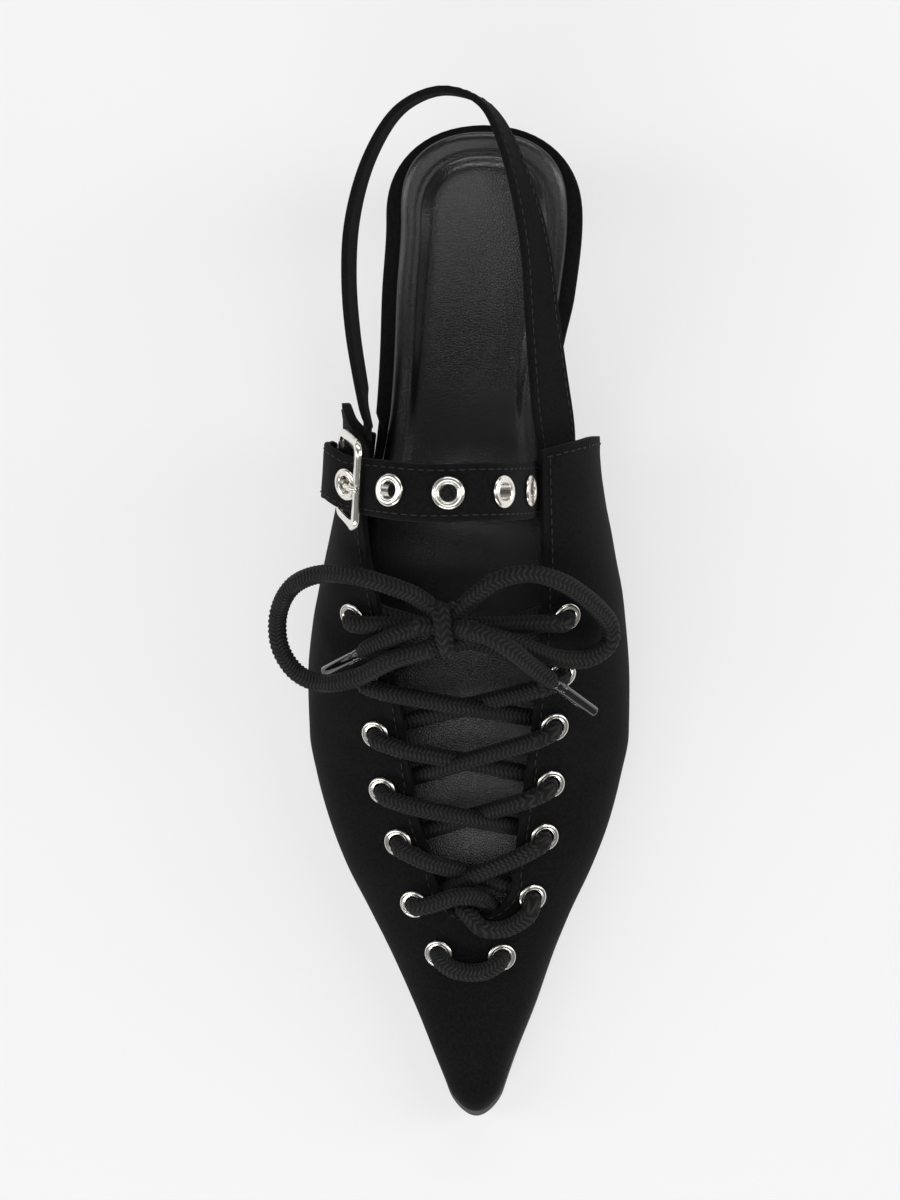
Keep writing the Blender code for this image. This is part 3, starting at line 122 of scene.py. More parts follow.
SOLE_PLAN = Table(
    "along outer inner",
    (0.000, -0.243, 0.356),
    (0.090, -0.243, 0.356),
    (0.165, -0.260, 0.332),
    (0.220, -0.269, 0.294),
    (0.275, -0.284, 0.275),
    (0.335, -0.313, 0.290),
    (0.405, -0.369, 0.347),
    (0.480, -0.432, 0.420),
    (0.555, -0.477, 0.466),
    (0.605, -0.484, 0.475),
    (0.650, -0.464, 0.455),
    (0.695, -0.434, 0.427),
    (0.740, -0.386, 0.375),
    (0.785, -0.323, 0.318),
    (0.830, -0.257, 0.261),
    (0.885, -0.183, 0.202),
    (0.937, -0.118, 0.139),
    (0.972, -0.074, 0.102),
    (1.000, -0.045, 0.075),
)
SOLE_RISE = Table(
    "along heel toe",
    (0.000, 1.000, 0.0),
    (0.090, 0.905, 0.0),
    (0.165, 0.800, 0.0),
    (0.220, 0.700, 0.0),
    (0.275, 0.572, 0.0),
    (0.335, 0.420, 0.0),
    (0.390, 0.278, 0.0),
    (0.445, 0.158, 0.0),
    (0.500, 0.068, 0.0),
    (0.550, 0.015, 0.0),
    (0.585, 0.000, 0.0),
    (0.700, 0.000, 0.0),
    (0.760, 0.000, 0.06),
    (0.830, 0.000, 0.22),
    (0.905, 0.000, 0.50),
    (0.960, 0.000, 0.78),
    (1.000, 0.000, 1.00),
)
LAST_SECTIONS = Table(
    "along girth_outer girth_inner level_outer level_inner crown crown_outer crown_inner edge_outer"
    " edge_inner",
    (0.260, -0.366, 0.400, 0.38, 0.28, -0.05, 0.88, 0.74, -0.285, 0.240),
    (0.335, -0.372, 0.411, 0.38, 0.28, -0.05, 0.95, 0.80, -0.288, 0.240),
    (0.370, -0.394, 0.425, 0.36, 0.28, -0.04, 0.97, 0.83, -0.297, 0.241),
    (0.405, -0.421, 0.447, 0.33, 0.27, -0.03, 0.95, 0.84, -0.292, 0.242),
    (0.480, -0.480, 0.483, 0.27, 0.26, -0.02, 0.80, 0.78, -0.256, 0.238),
    (0.555, -0.507, 0.498, 0.22, 0.22, -0.01, 0.67, 0.66, -0.212, 0.216),
    (0.605, -0.504, 0.496, 0.20, 0.20, 0.00, 0.59, 0.59, -0.190, 0.200),
    (0.650, -0.480, 0.470, 0.18, 0.18, 0.00, 0.530, 0.530, -0.173, 0.180),
    (0.695, -0.443, 0.434, 0.16, 0.16, 0.005, 0.475, 0.475, -0.148, 0.161),
    (0.740, -0.391, 0.382, 0.14, 0.14, 0.01, 0.43, 0.43, -0.108, 0.143),
    (0.785, -0.321, 0.317, 0.12, 0.12, 0.015, 0.375, 0.375, -0.085, 0.130),
    (0.830, -0.252, 0.256, 0.105, 0.105, 0.015, 0.320, 0.320, 0.0, 0.0),
    (0.885, -0.176, 0.194, 0.09, 0.09, 0.015, 0.255, 0.255, 0.0, 0.0),
    (0.937, -0.110, 0.129, 0.075, 0.075, 0.014, 0.195, 0.195, 0.0, 0.0),
    (0.972, -0.066, 0.092, 0.06, 0.06, 0.014, 0.150, 0.150, 0.0, 0.0),
    (1.000, -0.038, 0.062, 0.05, 0.05, 0.013, 0.120, 0.120, 0.0, 0.0),
)
REAR_EDGE = Table(
    "height outer inner",
    (0.00, 0.300, 0.314),
    (0.25, 0.288, 0.309),
    (0.45, 0.275, 0.307),
    (0.60, 0.276, 0.309),
    (0.75, 0.287, 0.314),
    (0.88, 0.303, 0.319),
    (1.00, 0.325, 0.325),
)
EYELET_PAIRS = (
    ((-0.340, 0.486), (0.309, 0.486)),
    ((-0.307, 0.548), (0.293, 0.543)),
    ((-0.280, 0.604), (0.269, 0.596)),
    ((-0.262, 0.661), (0.256, 0.654)),
    ((-0.216, 0.714), (0.236, 0.708)),
    ((-0.170, 0.777), (0.197, 0.770)),
    ((-0.094, 0.828), (0.101, 0.831)),
)
# The back strap: across, along, height above the seat, width and lean in degrees
SLING_PATH = (
    (0.262, 0.267, 0.337, 1.55, 41),
    (0.242, 0.200, 0.480, 1.36, 41),
    (0.224, 0.134, 0.635, 1.20, 39),
    (0.186, 0.077, 0.760, 1.06, 34),
    (0.125, 0.022, 0.837, 0.97, 23),
    (0.060, -0.004, 0.858, 0.95, 13),
    (-0.040, -0.013, 0.865, 0.95, 6),
    (-0.135, -0.003, 0.862, 0.95, 8),
    (-0.205, 0.019, 0.850, 0.95, 10),
    (-0.270, 0.060, 0.815, 0.96, 12),
    (-0.311, 0.109, 0.750, 1.00, 13),
    (-0.324, 0.160, 0.650, 1.12, 11),
    (-0.316, 0.214, 0.545, 1.28, 9),
    (-0.291, 0.272, 0.430, 1.40, 5),
)
# The instep strap's free arch: across, along and height
STRAP_SPAN = (
    (0.192, 0.364, 0.735),
    (0.130, 0.366, 0.905),
    (0.050, 0.367, 0.985),
    (-0.040, 0.368, 1.000),
    (-0.130, 0.367, 0.975),
    (-0.208, 0.364, 0.932),
)
# Soft folds in the upper: across and along at both ends, width and depth, in millimetres
CREASES = (
    (-41, 160, -27, 170, 3.2, 0.30),
    (-40, 168, -26, 180, 3.0, 0.22),
    (40, 160, 27, 168, 3.2, 0.28),
    (39, 170, 25, 181, 3.0, 0.22),
    (-24, 200, -10, 226, 5.0, -0.25),
    (24, 200, 12, 226, 5.0, -0.25),
    (-42, 128, -33, 118, 5.0, 0.30),
    (40, 120, 33, 104, 5.0, 0.28),
)
# The last crossing's way over the flap: across, along and height off it, or lying on it, in millimetres
FRONT = {
    "inner": (
        (14.6, 212.3, None),
        (9.5, 215.6, None),
        (3.6, 215.4, None),
        (-1.2, 211.4, -0.6),
        (-5.4, 212.0, -5.2),
    ),
    "outer": (
        (-9.6, 208.8, None),
        (-3.6, 207.6, 3.6),
        (2.2, 207.6, 1.6),
        (6.0, 210.6, -3.2),
        (8.4, 216.5, -6.0),
    ),
}
# The lace's steps up through an eyelet: sideways and up, in millimetres
THROUGH = ((0, -5.6), (0, -2.4), (0.25, 0.6), (1.9, 3.0))
# The bow's routes from the knot outwards: across, along and height in millimetres
BOW = {
    "lace_loop_outer": (
        (-8.8, 128.0, 65.0),
        (-14.5, 124.6, 67.8),
        (-26.5, 120.8, 68.6),
        (-37.0, 119.8, 62.0),
        (-45.5, 122.8, 54.5),
        (-50.0, 129.8, 49.0),
        (-50.0, 138.8, 47.5),
        (-45.5, 146.0, 48.0),
        (-38.0, 149.0, 51.5),
        (-28.5, 147.4, 58.0),
        (-19.0, 142.8, 62.8),
        (-8.8, 139.6, 65.0),
    ),
    "lace_loop_inner": (
        (0.6, 128.0, 65.0),
        (4.4, 124.8, 66.5),
        (9.6, 121.4, 67.5),
        (17.3, 119.8, 67.0),
        (25.6, 121.8, 63.5),
        (33.4, 127.0, 57.0),
        (38.4, 132.8, 50.5),
        (38.4, 138.4, 48.0),
        (32.8, 142.4, 50.5),
        (25.2, 142.4, 55.0),
        (17.1, 139.6, 60.0),
        (10.0, 137.0, 62.0),
        (2.9, 135.4, 62.4),
    ),
    "lace_end_outer": (
        (-11.2, 133.8, 66.0),
        (-17.5, 136.0, 64.4),
        (-23.0, 138.5, 60.0),
        (-27.6, 140.8, 55.2),
    ),
    "lace_end_inner": (
        (2.2, 134.4, 68.4),
        (7.2, 136.4, 69.6),
        (12.4, 139.4, 68.6),
        (18.7, 144.6, 63.4),
        (24.2, 148.8, 58.4),
    ),
}


def ease(low: float, high: float, value: float) -> float:
    """0 below low, 1 above high, and a smooth step between."""
    t = min(1.0, max(0.0, (value - low) / (high - low)))
    return t * t * (3 - 2 * t)


def stations(
    start: float, end: float, count: int, round_start: bool = False, round_end: bool = False
) -> list[float]:
    """Places from start to end, closer together where an end is round.

    Args:
        start: the first place.
        end: the last place.
        count: how many steps.
        round_start: whether the start is a round end.
        round_end: whether the end is a round end.

    Returns:
        One place more than there are steps.
    """
    found = []
    for i in range(count + 1):
        t = i / count
        if round_start:
            t = 1 - cos(pi * t / 2)
        elif round_end:
            t = sin(pi * t / 2)
        found.append(start + (end - start) * t)
    return found


def smooth_line(points: Sequence[Vector], steps: int) -> Ring:
    """Points on a smooth curve through the given ones, with so many steps between each two."""
    ends = [2 * points[0] - points[1], *points, 2 * points[-1] - points[-2]]
    found = []
    for i in range(1, len(ends) - 2):
        a, b, c, d = ends[i - 1 : i + 3]
        for k in range(steps):
            t = k / steps
            cubic = 2 * b + (c - a) * t + (2 * a - 5 * b + 4 * c - d) * t * t + (3 * b - a - 3 * c + d) * t**3
            found.append(0.5 * cubic)
    return found + [points[-1]]


def runs(points: Sequence[Vector]) -> list[float]:
    """How far along a line each of its points lies."""
    found = [0.0]
    for p, q in zip(points, points[1:]):
        found.append(found[-1] + (q - p).length)
    return found


def line_length(points: Sequence[Vector]) -> float:
    """The length of a line through points."""
    return runs(points)[-1]


def even_line(points: Sequence[Vector], step: float) -> Ring:
    """The same line in equal steps of about the given length."""
    run = runs(points)
    count = max(2, round(run[-1] / step))
    found, k = [], 0
    for i in range(count + 1):
        goal = run[-1] * i / count
        while k < len(points) - 2 and run[k + 1] < goal:
            k += 1
        t = (goal - run[k]) / max(run[k + 1] - run[k], 1e-9)
        found.append(points[k].lerp(points[k + 1], min(1.0, t)))
    return found


def facing(point: Vector, normal: Vector, toward: Vector) -> Matrix:
    """A matrix whose Z is a normal and whose Y leans towards a direction."""
    z = normal.normalized()
    x = toward.cross(z).normalized()
    return Matrix.Translation(point) @ Matrix((x, z.cross(x), z)).transposed().to_4x4()


def rolled(line: Sequence[Vector]) -> list[tuple[Vector, Vector]]:
    """Two directions square to a line at each point, carried along it without a twist."""
    side = Vector((0, 0, 1)).cross(line[1] - line[0])
    if side.length < 1e-9:
        side = Vector((1, 0, 0))
    found = []
    for i in range(len(line)):
        ahead = (line[min(i + 1, len(line) - 1)] - line[max(i - 1, 0)]).normalized()
        side = (side - ahead * side.dot(ahead)).normalized()
        found.append((side.copy(), ahead.cross(side)))
    return found


def strap_axes(line: Sequence[Vector], i: int, across: Vector) -> tuple[Vector, Vector, Vector]:
    """The directions ahead, across and out of a strap at one of its middles."""
    ahead = (line[min(i + 1, len(line) - 1)] - line[max(i - 1, 0)]).normalized()
    side = (across - ahead * across.dot(ahead)).normalized()
    return ahead, side, ahead.cross(side)


def blunt(run: float, total: float, start: float, over: float) -> float:
    """A tube's share of its radius near its rounded ends."""
    return sqrt(min(1.0, (min(run, total - run) + start) / over))


@dataclass(frozen=True)
class Crease:
    """A soft fold in the upper, drawn between two places in plan.

    Args:
        across: across at one end.
        along: along at that end.
        to_across: across at the other end.
        to_along: along at the other end.
        width: how wide it spreads.
        depth: how deep it lies, or how high with a minus.
    """

    across: float
    along: float
    to_across: float
    to_along: float
    width: float
    depth: float

    def at(self, across: float, along: float) -> float:
        """How far the surface stands out at a place."""
        run = (self.to_across - self.across, self.to_along - self.along)
        off = (across - self.across, along - self.along)
        length = hypot(*run)
        t = (off[0] * run[0] + off[1] * run[1]) / length**2
        away = abs(off[0] * run[1] - off[1] * run[0]) / length
        if away > 3 * self.width or not -0.3 < t < 1.3:
            return 0.0
        fade = ease(-0.3, 0.25, t) * (1 - ease(0.75, 1.3, t))
        return -self.depth * exp(-((away / self.width) ** 2)) * fade


class Section:
    """One half of a section of the last, from the feather line over the girth to the crown."""

    def __init__(self, last: Last, along: float, inner: bool, depth: float) -> None:
        """Reads the section's points.

        Args:
            last: the last it belongs to.
            along: its place.
            inner: whether it is the inner half.
            depth: how far inside the outer face it lies.
        """
        share = along / last.length
        name, sign = ("inner", 1) if inner else ("outer", -1)
        tip = last.length - last.welt_at_toe
        nose = sqrt(max(0.0, 1 - max(0.0, (along - tip + last.toe_round) / last.toe_round) ** 2))
        edges = [SOLE_PLAN.read(side, share) * last.ball for side in ("outer", "inner")]
        middle = sum(edges) / 2
        edge = edges[1 if inner else 0] - sign * last.upper_inset(along)
        girth = LAST_SECTIONS.read(f"girth_{name}", share) * last.ball
        girth = sign * max(sign * girth, sign * edge)
        self.inner = inner
        self.base = last.feather(along)
        self.foot = middle + (edge - middle) * nose - sign * depth
        self.girth = middle + (girth - middle) * nose - sign * depth
        self.level = self.base + LAST_SECTIONS.read(f"level_{name}", share) * last.instep * (0.4 + 0.6 * nose)
        self.crown = LAST_SECTIONS.read("crown", share) * last.ball
        height = LAST_SECTIONS.read(f"crown_{name}", share) * last.instep
        rise = self.level - self.base
        self.top = self.base + rise + (height - rise) * nose - depth * nose
        throat = LAST_SECTIONS.read(f"edge_{name}", share) * last.ball
        closing = max(0.0, (along - last.throat_end + last.throat_round) / last.throat_round)
        self.open = along < last.throat_end
        self.throat = self.crown + (throat - self.crown) * sqrt(max(0.0, 1 - closing**2))

    @staticmethod
    def _bezier(a: float, b: float, c: float, d: float, t: float) -> float:
        """A cubic between a and d."""
        return a * (1 - t) ** 3 + 3 * b * t * (1 - t) ** 2 + 3 * c * t * t * (1 - t) + d * t**3

    def at(self, turn: float) -> Pair:
        """Across and height at a turn: 0 at the feather line, 1 at the girth and 2 at the crown."""
        if turn <= 1:
            full = 0.55
            wide = self.foot + full * (self.girth - self.foot)
            low = self.level - full * (self.level - self.base)
            x = self._bezier(self.foot, wide, self.girth, self.girth, turn)
            return x, self._bezier(self.base, self.base, low, self.level, turn)
        full, t = 0.60, turn - 1
        x = self._bezier(self.girth, self.girth, self.crown + full * (self.girth - self.crown), self.crown, t)
        return x, self._bezier(self.level, self.level + full * (self.top - self.level), self.top, self.top, t)

    def turn_at(self, across: float) -> float:
        """The turn where the upper curve passes a place across."""
        low, high = 1.0, 2.0
        for _ in range(24):
            middle = (low + high) / 2
            if abs(self.at(middle)[0] - self.crown) > abs(across - self.crown):
                low = middle
            else:
                high = middle
        return (low + high) / 2

    @property
    def topline(self) -> float:
        """The turn of the throat's edge, or of the crown where there is no throat."""
        return self.turn_at(self.throat) if self.open else 2.0

    def shares(self, count: int) -> tuple[list[float], float]:
        """Turns that divide the curve up to the topline evenly, and that curve's length."""
        end = self.topline
        fine = [end * i / 40 for i in range(41)]
        points = [self.at(turn) for turn in fine]
        run = [0.0]
        for p, q in zip(points, points[1:]):
            run.append(run[-1] + hypot(q[0] - p[0], q[1] - p[1]))
        found, k = [], 0
        for i in range(count + 1):
            goal = run[-1] * i / count
            while k < 39 and run[k + 1] < goal:
                k += 1
            t = (goal - run[k]) / max(run[k + 1] - run[k], 1e-9)
            found.append(fine[k] + (fine[k + 1] - fine[k]) * min(1.0, t))
        return found, run[-1]

    def outward(self, turn: float) -> Vector:
        """The direction out of the section at a turn, straight up at the crown."""
        if turn > 1.999:
            return Vector((0, 0, 1))
        near, far = self.at(max(0.0, turn - 0.02)), self.at(min(2.0, turn + 0.02))
        run = (far[0] - near[0], far[1] - near[1])
        out = Vector((run[1], 0, -run[0])) if self.inner else Vector((-run[1], 0, run[0]))
        return out.normalized()


@dataclass(frozen=True)
class Last:
    """The form that the shoe is made on, with its named sizes."""

    length: float = 270 * MM
    ball: float = 88 * MM
    heel_height: float = 45 * MM
    toe_spring: float = 6.4 * MM
    instep: float = 68 * MM
    overhang: float = 4.4 * MM
    gap: float = 0.3 * MM
    sole: float = 3.0 * MM
    seat_round: float = 24 * MM
    toe_round: float = 7 * MM
    welt_at_toe: float = 1.6 * MM
    welt_at_waist: float = 0.3 * MM
    throat_end: float = 0.792 * 270 * MM
    throat_round: float = 11 * MM
    wall: float = 1.8 * MM

    def spot(self, across: float, along: float, height: float) -> Vector:
        """A point from its place on the shoe."""
        return Vector((across, (self.length - self.overhang) / 2 - along, height))

    def end_round(self, along: float) -> float:
        """Share of the full width, less than 1 at the rounded seat and toe."""
        if along < self.seat_round:
            return (1 - min(1.0, (self.seat_round - along) / self.seat_round) ** 2.2) ** (1 / 2.2)
        if along > self.length - self.toe_round:
            return sqrt(max(0.0, 1 - ((along - self.length + self.toe_round) / self.toe_round) ** 2))
        return 1.0

    def sides(self, along: float, inset: float = 0.0) -> Pair:
        """The sole's outer and inner edge, drawn in by an inset."""
        outer, inner = (SOLE_PLAN.read(side, along / self.length) * self.ball for side in ("outer", "inner"))
        half = ((inner - outer) / 2 - inset) * self.end_round(along)
        return (outer + inner) / 2 - half, (outer + inner) / 2 + half

    def rear(self, inner: bool, height: float) -> float:
        """Where a quarter's rear edge stands, at a share of its height."""
        return REAR_EDGE.read("inner" if inner else "outer", height, by="height") * self.length

    def under(self, along: float) -> float:
        """Height of the sole's underside."""
        share = along / self.length
        toe = SOLE_RISE.read("toe", share) * self.toe_spring
        return SOLE_RISE.read("heel", share) * self.heel_height + toe

    def feather(self, along: float) -> float:
        """Height at which the upper stands on the sole."""
        return self.under(along) + self.sole + self.gap

    def upper_inset(self, along: float) -> float:
        """How far the upper stands in from the sole's edge."""
        share = ease(0.45 * self.length, 0.85 * self.length, along)
        return self.welt_at_waist + (self.welt_at_toe - self.welt_at_waist) * share

    @lru_cache(maxsize=60000)
    def section(self, along: float, inner: bool, depth: float = 0.0) -> Section:
        """The half section at a place."""
        return Section(self, along, inner, depth)

    def surface(self, along: float, inner: bool, turn: float) -> Vector:
        """A point of the upper's outer face."""
        across, height = self.section(along, inner).at(turn)
        return self.spot(across, along, height)

    def frame_at(self, along: float, inner: bool, turn: float) -> tuple[Vector, Vector, Vector]:
        """Point, outward normal and the direction up the section on the upper's outer face."""
        step = 0.02
        up = self.surface(along, inner, min(turn + step, 2.0)) - self.surface(along, inner, turn - step)
        ahead = self.surface(along + MM, inner, turn) - self.surface(along - MM, inner, turn)
        normal = up.cross(ahead) if inner else ahead.cross(up)
        return self.surface(along, inner, turn), normal.normalized(), up.normalized()

    def on_upper(self, across: float, along: float, off: float) -> Vector:
        """A point over the upper at a place in plan, or under its outer face with a minus."""
        inner = across > LAST_SECTIONS.read("crown", along / self.length) * self.ball
        turn = self.section(along, inner).turn_at(across)
        point, normal, _ = self.frame_at(along, inner, turn)
        return point + normal * off

    def seat_on(self, along: float, inner: bool, drop: float, off: float) -> tuple[Vector, Vector, Vector]:
        """A point off a quarter's outer face, at a distance down from its topline, with its normal and up."""
        turn = self.section(along, inner).topline
        travelled, last_point = 0.0, self.surface(along, inner, turn)
        while travelled < drop and turn > 0.05:
            turn -= 0.01
            point = self.surface(along, inner, turn)
            travelled += (point - last_point).length
            last_point = point
        point, normal, up = self.frame_at(along, inner, turn)
        if drop < 0:
            point = point - up * drop
        return point + normal * off, normal, up

    def bed(self, along: float, inner: bool, drop: float, off: float, reach: float) -> tuple[Vector, Vector]:
        """A seat for a flat strap, clear of the quarter at both edges, and the direction across the strap."""
        point, normal, _ = self.seat_on(along, inner, drop, off)
        heel, toe = (self.seat_on(along + step, inner, drop, off)[0] for step in (-reach, reach))
        hollow = ((heel + toe) / 2 - point).dot(normal)
        lift = max(0.0, hollow) if off > 0 else min(0.0, hollow)
        return point + normal * lift, (heel - toe).normalized()

    def eyelet(self, pair: int, inner: bool) -> Matrix:
        """The frame of a lace eyelet: its Z out of the upper, its Y up towards the throat."""
        across, along = self.eyelet_plan(pair, inner)
        point, normal, up = self.frame_at(along, inner, self.section(along, inner).turn_at(across))
        return facing(point, normal, up)

    def eyelet_plan(self, pair: int, inner: bool) -> Pair:
        """Across and along of a lace eyelet."""
        row = EYELET_PAIRS[pair][1 if inner else 0]
        return row[0] * self.ball, row[1] * self.length


class Bench:
    """Starts each mesh from a primitive and works on it with Blender's own tools."""

    @staticmethod
    def pick(*objects: Piece) -> None:
        """Selects these objects alone, the first one active."""
        if bpy.context.object and bpy.context.object.mode != "OBJECT":
            bpy.ops.object.mode_set(mode="OBJECT")
        bpy.ops.object.select_all(action="DESELECT")
        for obj in objects:
            obj.select_set(True)
        bpy.context.view_layer.objects.active = objects[0]

    def primitive(self, add: Callable, name: str, **sizes: object) -> Piece:
        """Adds a primitive at the origin.

        Args:
            add: the operator that adds it.
            name: its name.
            sizes: the operator's own settings.

        Returns:
            The object.
        """
        bpy.ops.object.select_all(action="DESELECT")
        add(location=(0, 0, 0), **sizes)
        return self.rename(bpy.context.object, name)

    @staticmethod
    def rename(obj: Piece, name: str) -> Piece:
        """Gives an object and its mesh one name."""
        obj.name = obj.data.name = name
        return obj

    def stretch(self, obj: Piece, scale: Triple, rise: float = 0.0) -> None:
        """Resizes a primitive's mesh and raises it, in edit mode."""
        self.pick(obj)
        bpy.ops.object.mode_set(mode="EDIT")
        bpy.ops.mesh.select_all(action="SELECT")
        bpy.ops.transform.resize(value=scale)
        bpy.ops.transform.translate(value=(0, 0, rise))
        bpy.ops.object.mode_set(mode="OBJECT")

    def lay(
        self, name: str, rows: Sequence[Ring], paint: Callable[[float, float], int] | None = None
    ) -> Piece:
        """Lays a grid primitive over rows of points, with its UV map in metres along both.

        Args:
            name: the piece's name.
            rows: equally many points in each row.
            paint: the material's number for a face, from its shares across and along.

        Returns:
            The new object, open at its borders.
        """
        across, along = len(rows[0]) - 1, len(rows) - 1
        steps = {"x_subdivisions": across, "y_subdivisions": along}
        obj = self.primitive(bpy.ops.mesh.primitive_grid_add, name, size=1, **steps)
        mesh = obj.data
        if paint:
            for polygon in mesh.polygons:
                polygon.material_index = paint(polygon.center.x + 0.5, polygon.center.y + 0.5)
        run_across, run_along = runs(rows[along // 2]), runs([row[across // 2] for row in rows])
        places = [(round((v.co.x + 0.5) * across), round((v.co.y + 0.5) * along)) for v in mesh.vertices]
        for corner, loop in zip(mesh.uv_layers.active.data, mesh.loops):
            i, j = places[loop.vertex_index]
            corner.uv = (run_across[i], run_along[j])
        for vertex, (i, j) in zip(mesh.vertices, places):
            vertex.co = rows[j][i]
        return obj

    def seal(self, obj: Piece, fill: bool = True) -> Piece:
        """Merges what coincides, closes the ends and turns the faces out.

        Args:
            obj: the piece.
            fill: whether open ends are filled.

        Returns:
            The same object.
        """
        self.pick(obj)
        bpy.ops.object.mode_set(mode="EDIT")
        bpy.ops.mesh.select_all(action="SELECT")
        bpy.ops.mesh.remove_doubles(threshold=MERGE)
        if fill:
            bpy.ops.mesh.fill_holes(sides=0)
        bpy.ops.mesh.select_all(action="SELECT")
        bpy.ops.mesh.normals_make_consistent(inside=False)
        bpy.ops.object.mode_set(mode="OBJECT")
        return obj

    def modify(self, obj: Piece, kind: str, **settings: object) -> None:
        """Adds a modifier and applies it.

        Args:
            obj: the piece.
            kind: the modifier's type.
            settings: its settings by name.
        """
        self.pick(obj)
        modifier = obj.modifiers.new(kind.lower(), kind)
        for name, value in settings.items():
            setattr(modifier, name, value)
        bpy.ops.object.modifier_apply(modifier=modifier.name)

    def smooth(self, obj: Piece, degrees: float) -> None:
        """Shades a piece smooth, with edges sharper than an angle kept."""
        self.pick(obj)
        bpy.ops.object.shade_smooth_by_angle(angle=radians(degrees))

    def skin(
        self,
        name: str,
        rows: Sequence[Ring],
        degrees: float,
        fill: bool = True,
        paint: Callable[[float, float], int] | None = None,
    ) -> Piece:
        """Lays a piece over rows of points, closes it and shades it smooth.

        Args:
            name: the piece's name.
            rows: equally many points in each row.
            degrees: the angle of edges that stay sharp.
            fill: whether open ends are filled.
            paint: the material's number for a face.

        Returns:
            The new object.
        """
        obj = self.seal(self.lay(name, rows, paint), fill)
        self.smooth(obj, degrees)
        return obj

    def join(self, name: str, pieces: Sequence[Piece]) -> Piece:
        """Joins pieces into one object of a name."""
        self.pick(*pieces)
        if len(pieces) > 1:
            bpy.ops.object.join()
        return self.rename(bpy.context.object, name)

    def cut(self, obj: Piece, cutters: Sequence[Piece], solver: str = "EXACT") -> None:
        """Takes cutters away from a piece.

        Args:
            obj: the piece.
            cutters: closed solids, which are removed afterwards.
            solver: the Boolean's solver.
        """
        cutter = self.join("cutter", cutters)
        self.modify(obj, "BOOLEAN", operation="DIFFERENCE", object=cutter, solver=solver)
        bpy.data.objects.remove(cutter)

    def bore(self, obj: Piece, places: Sequence[Matrix], radius: float, depth: float) -> None:
        """Cuts round holes through a piece.

        Args:
            obj: the piece.
            places: a frame for each hole, its Z along the hole.
            radius: the holes' radius.
            depth: the cutters' length.
        """
        cutters = []
        for place in places:
            sizes = {"vertices": 28, "radius": radius, "depth": depth}
            cutter = self.primitive(bpy.ops.mesh.primitive_cylinder_add, "hole", **sizes)
            cutter.data.transform(place)
            cutters.append(cutter)
        self.cut(obj, cutters)

    def copies(self, name: str, pattern: Piece, places: Sequence[Matrix]) -> Piece:
        """One object of copies of a small pattern piece, which is removed.

        Args:
            name: the new piece's name.
            pattern: the piece to copy.
            places: a frame for each copy.

        Returns:
            The joined copies.
        """
        made = []
        for place in places:
            copy = pattern.copy()
            copy.data = pattern.data.copy()
            copy.data.transform(place)
            bpy.context.scene.collection.objects.link(copy)
            made.append(copy)
        bpy.data.objects.remove(pattern)
        return self.join(name, made)

    def tube(
        self, name: str, line: Ring, radius: Callable[[float, float], float], sides: int = 24
    ) -> Piece:
        """A closed tube along a line, from a radius that may change round it and along it.

        Args:
            name: the piece's name.
            line: evenly spaced points.
            radius: the radius for a share round it and a distance along it.
            sides: points round it.

        Returns:
            The tube, with its ends closed to a point.
        """
        turns = rolled(line)
        step = line_length(line) / (len(line) - 1)
        rows = []
        for j, (point, (side, up)) in enumerate(zip(line, turns)):
            ring = []
            for i in range(sides + 1):
                angle = 2 * pi * (i % sides) / sides
                reach = 0.0 if j in (0, len(line) - 1) else radius((i % sides) / sides, j * step)
                ring.append(point + (side * cos(angle) + up * sin(angle)) * reach)
            rows.append(ring)
        return self.skin(name, rows, 60, fill=False)

    def ribbon(
        self,
        name: str,
        line: Sequence[Station],
        thickness: float,
        relief: Callable[[float, float], float] | None = None,
        lining: bool = False,
    ) -> Piece:
        """A flat strap with rounded edges, through stations of middle, direction across and width.

        Args:
            name: the piece's name.
            line: the stations.
            thickness: the strap's thickness.
            relief: how far its outer face stands out, from the distance to the nearest edge and along it.
            lining: whether the inner face takes the second material.

        Returns:
            The closed strap.
        """
        middles = [station[0] for station in line]
        rows, travelled = [], 0.0
        shares = [-1 + 2 * i / 16 for i in range(17)]
        corner = thickness / 2
        for i, (middle, across, width) in enumerate(line):
            if i:
                travelled += (middle - middles[i - 1]).length
            _, side, face = strap_axes(middles, i, across)
            flat = max(width / 2 - corner, 0.05 * MM)
            ring = []
            for share in shares:
                lift = relief((1 - abs(share)) * flat + corner, travelled) if relief else 0.0
                ring.append(middle + side * (share * flat) + face * (corner + lift))
            for sign in (1, -1):
                for k in range(1, 6):
                    angle = sign * pi / 2 - pi * k / 6
                    out = side * (sign * flat + corner * cos(angle))
                    ring.append(middle + out + face * corner * sin(angle))
                if sign == 1:
                    ring += [middle + side * (share * flat) - face * corner for share in reversed(shares)]
            ring.append(ring[0])
            rows.append(ring)
        inner_from, inner_to = 21 / len(rows[0]), 40 / len(rows[0])
        paint = (lambda u, v: int(inner_from < u < inner_to)) if lining else None
        return self.skin(name, rows, 50, paint=paint)

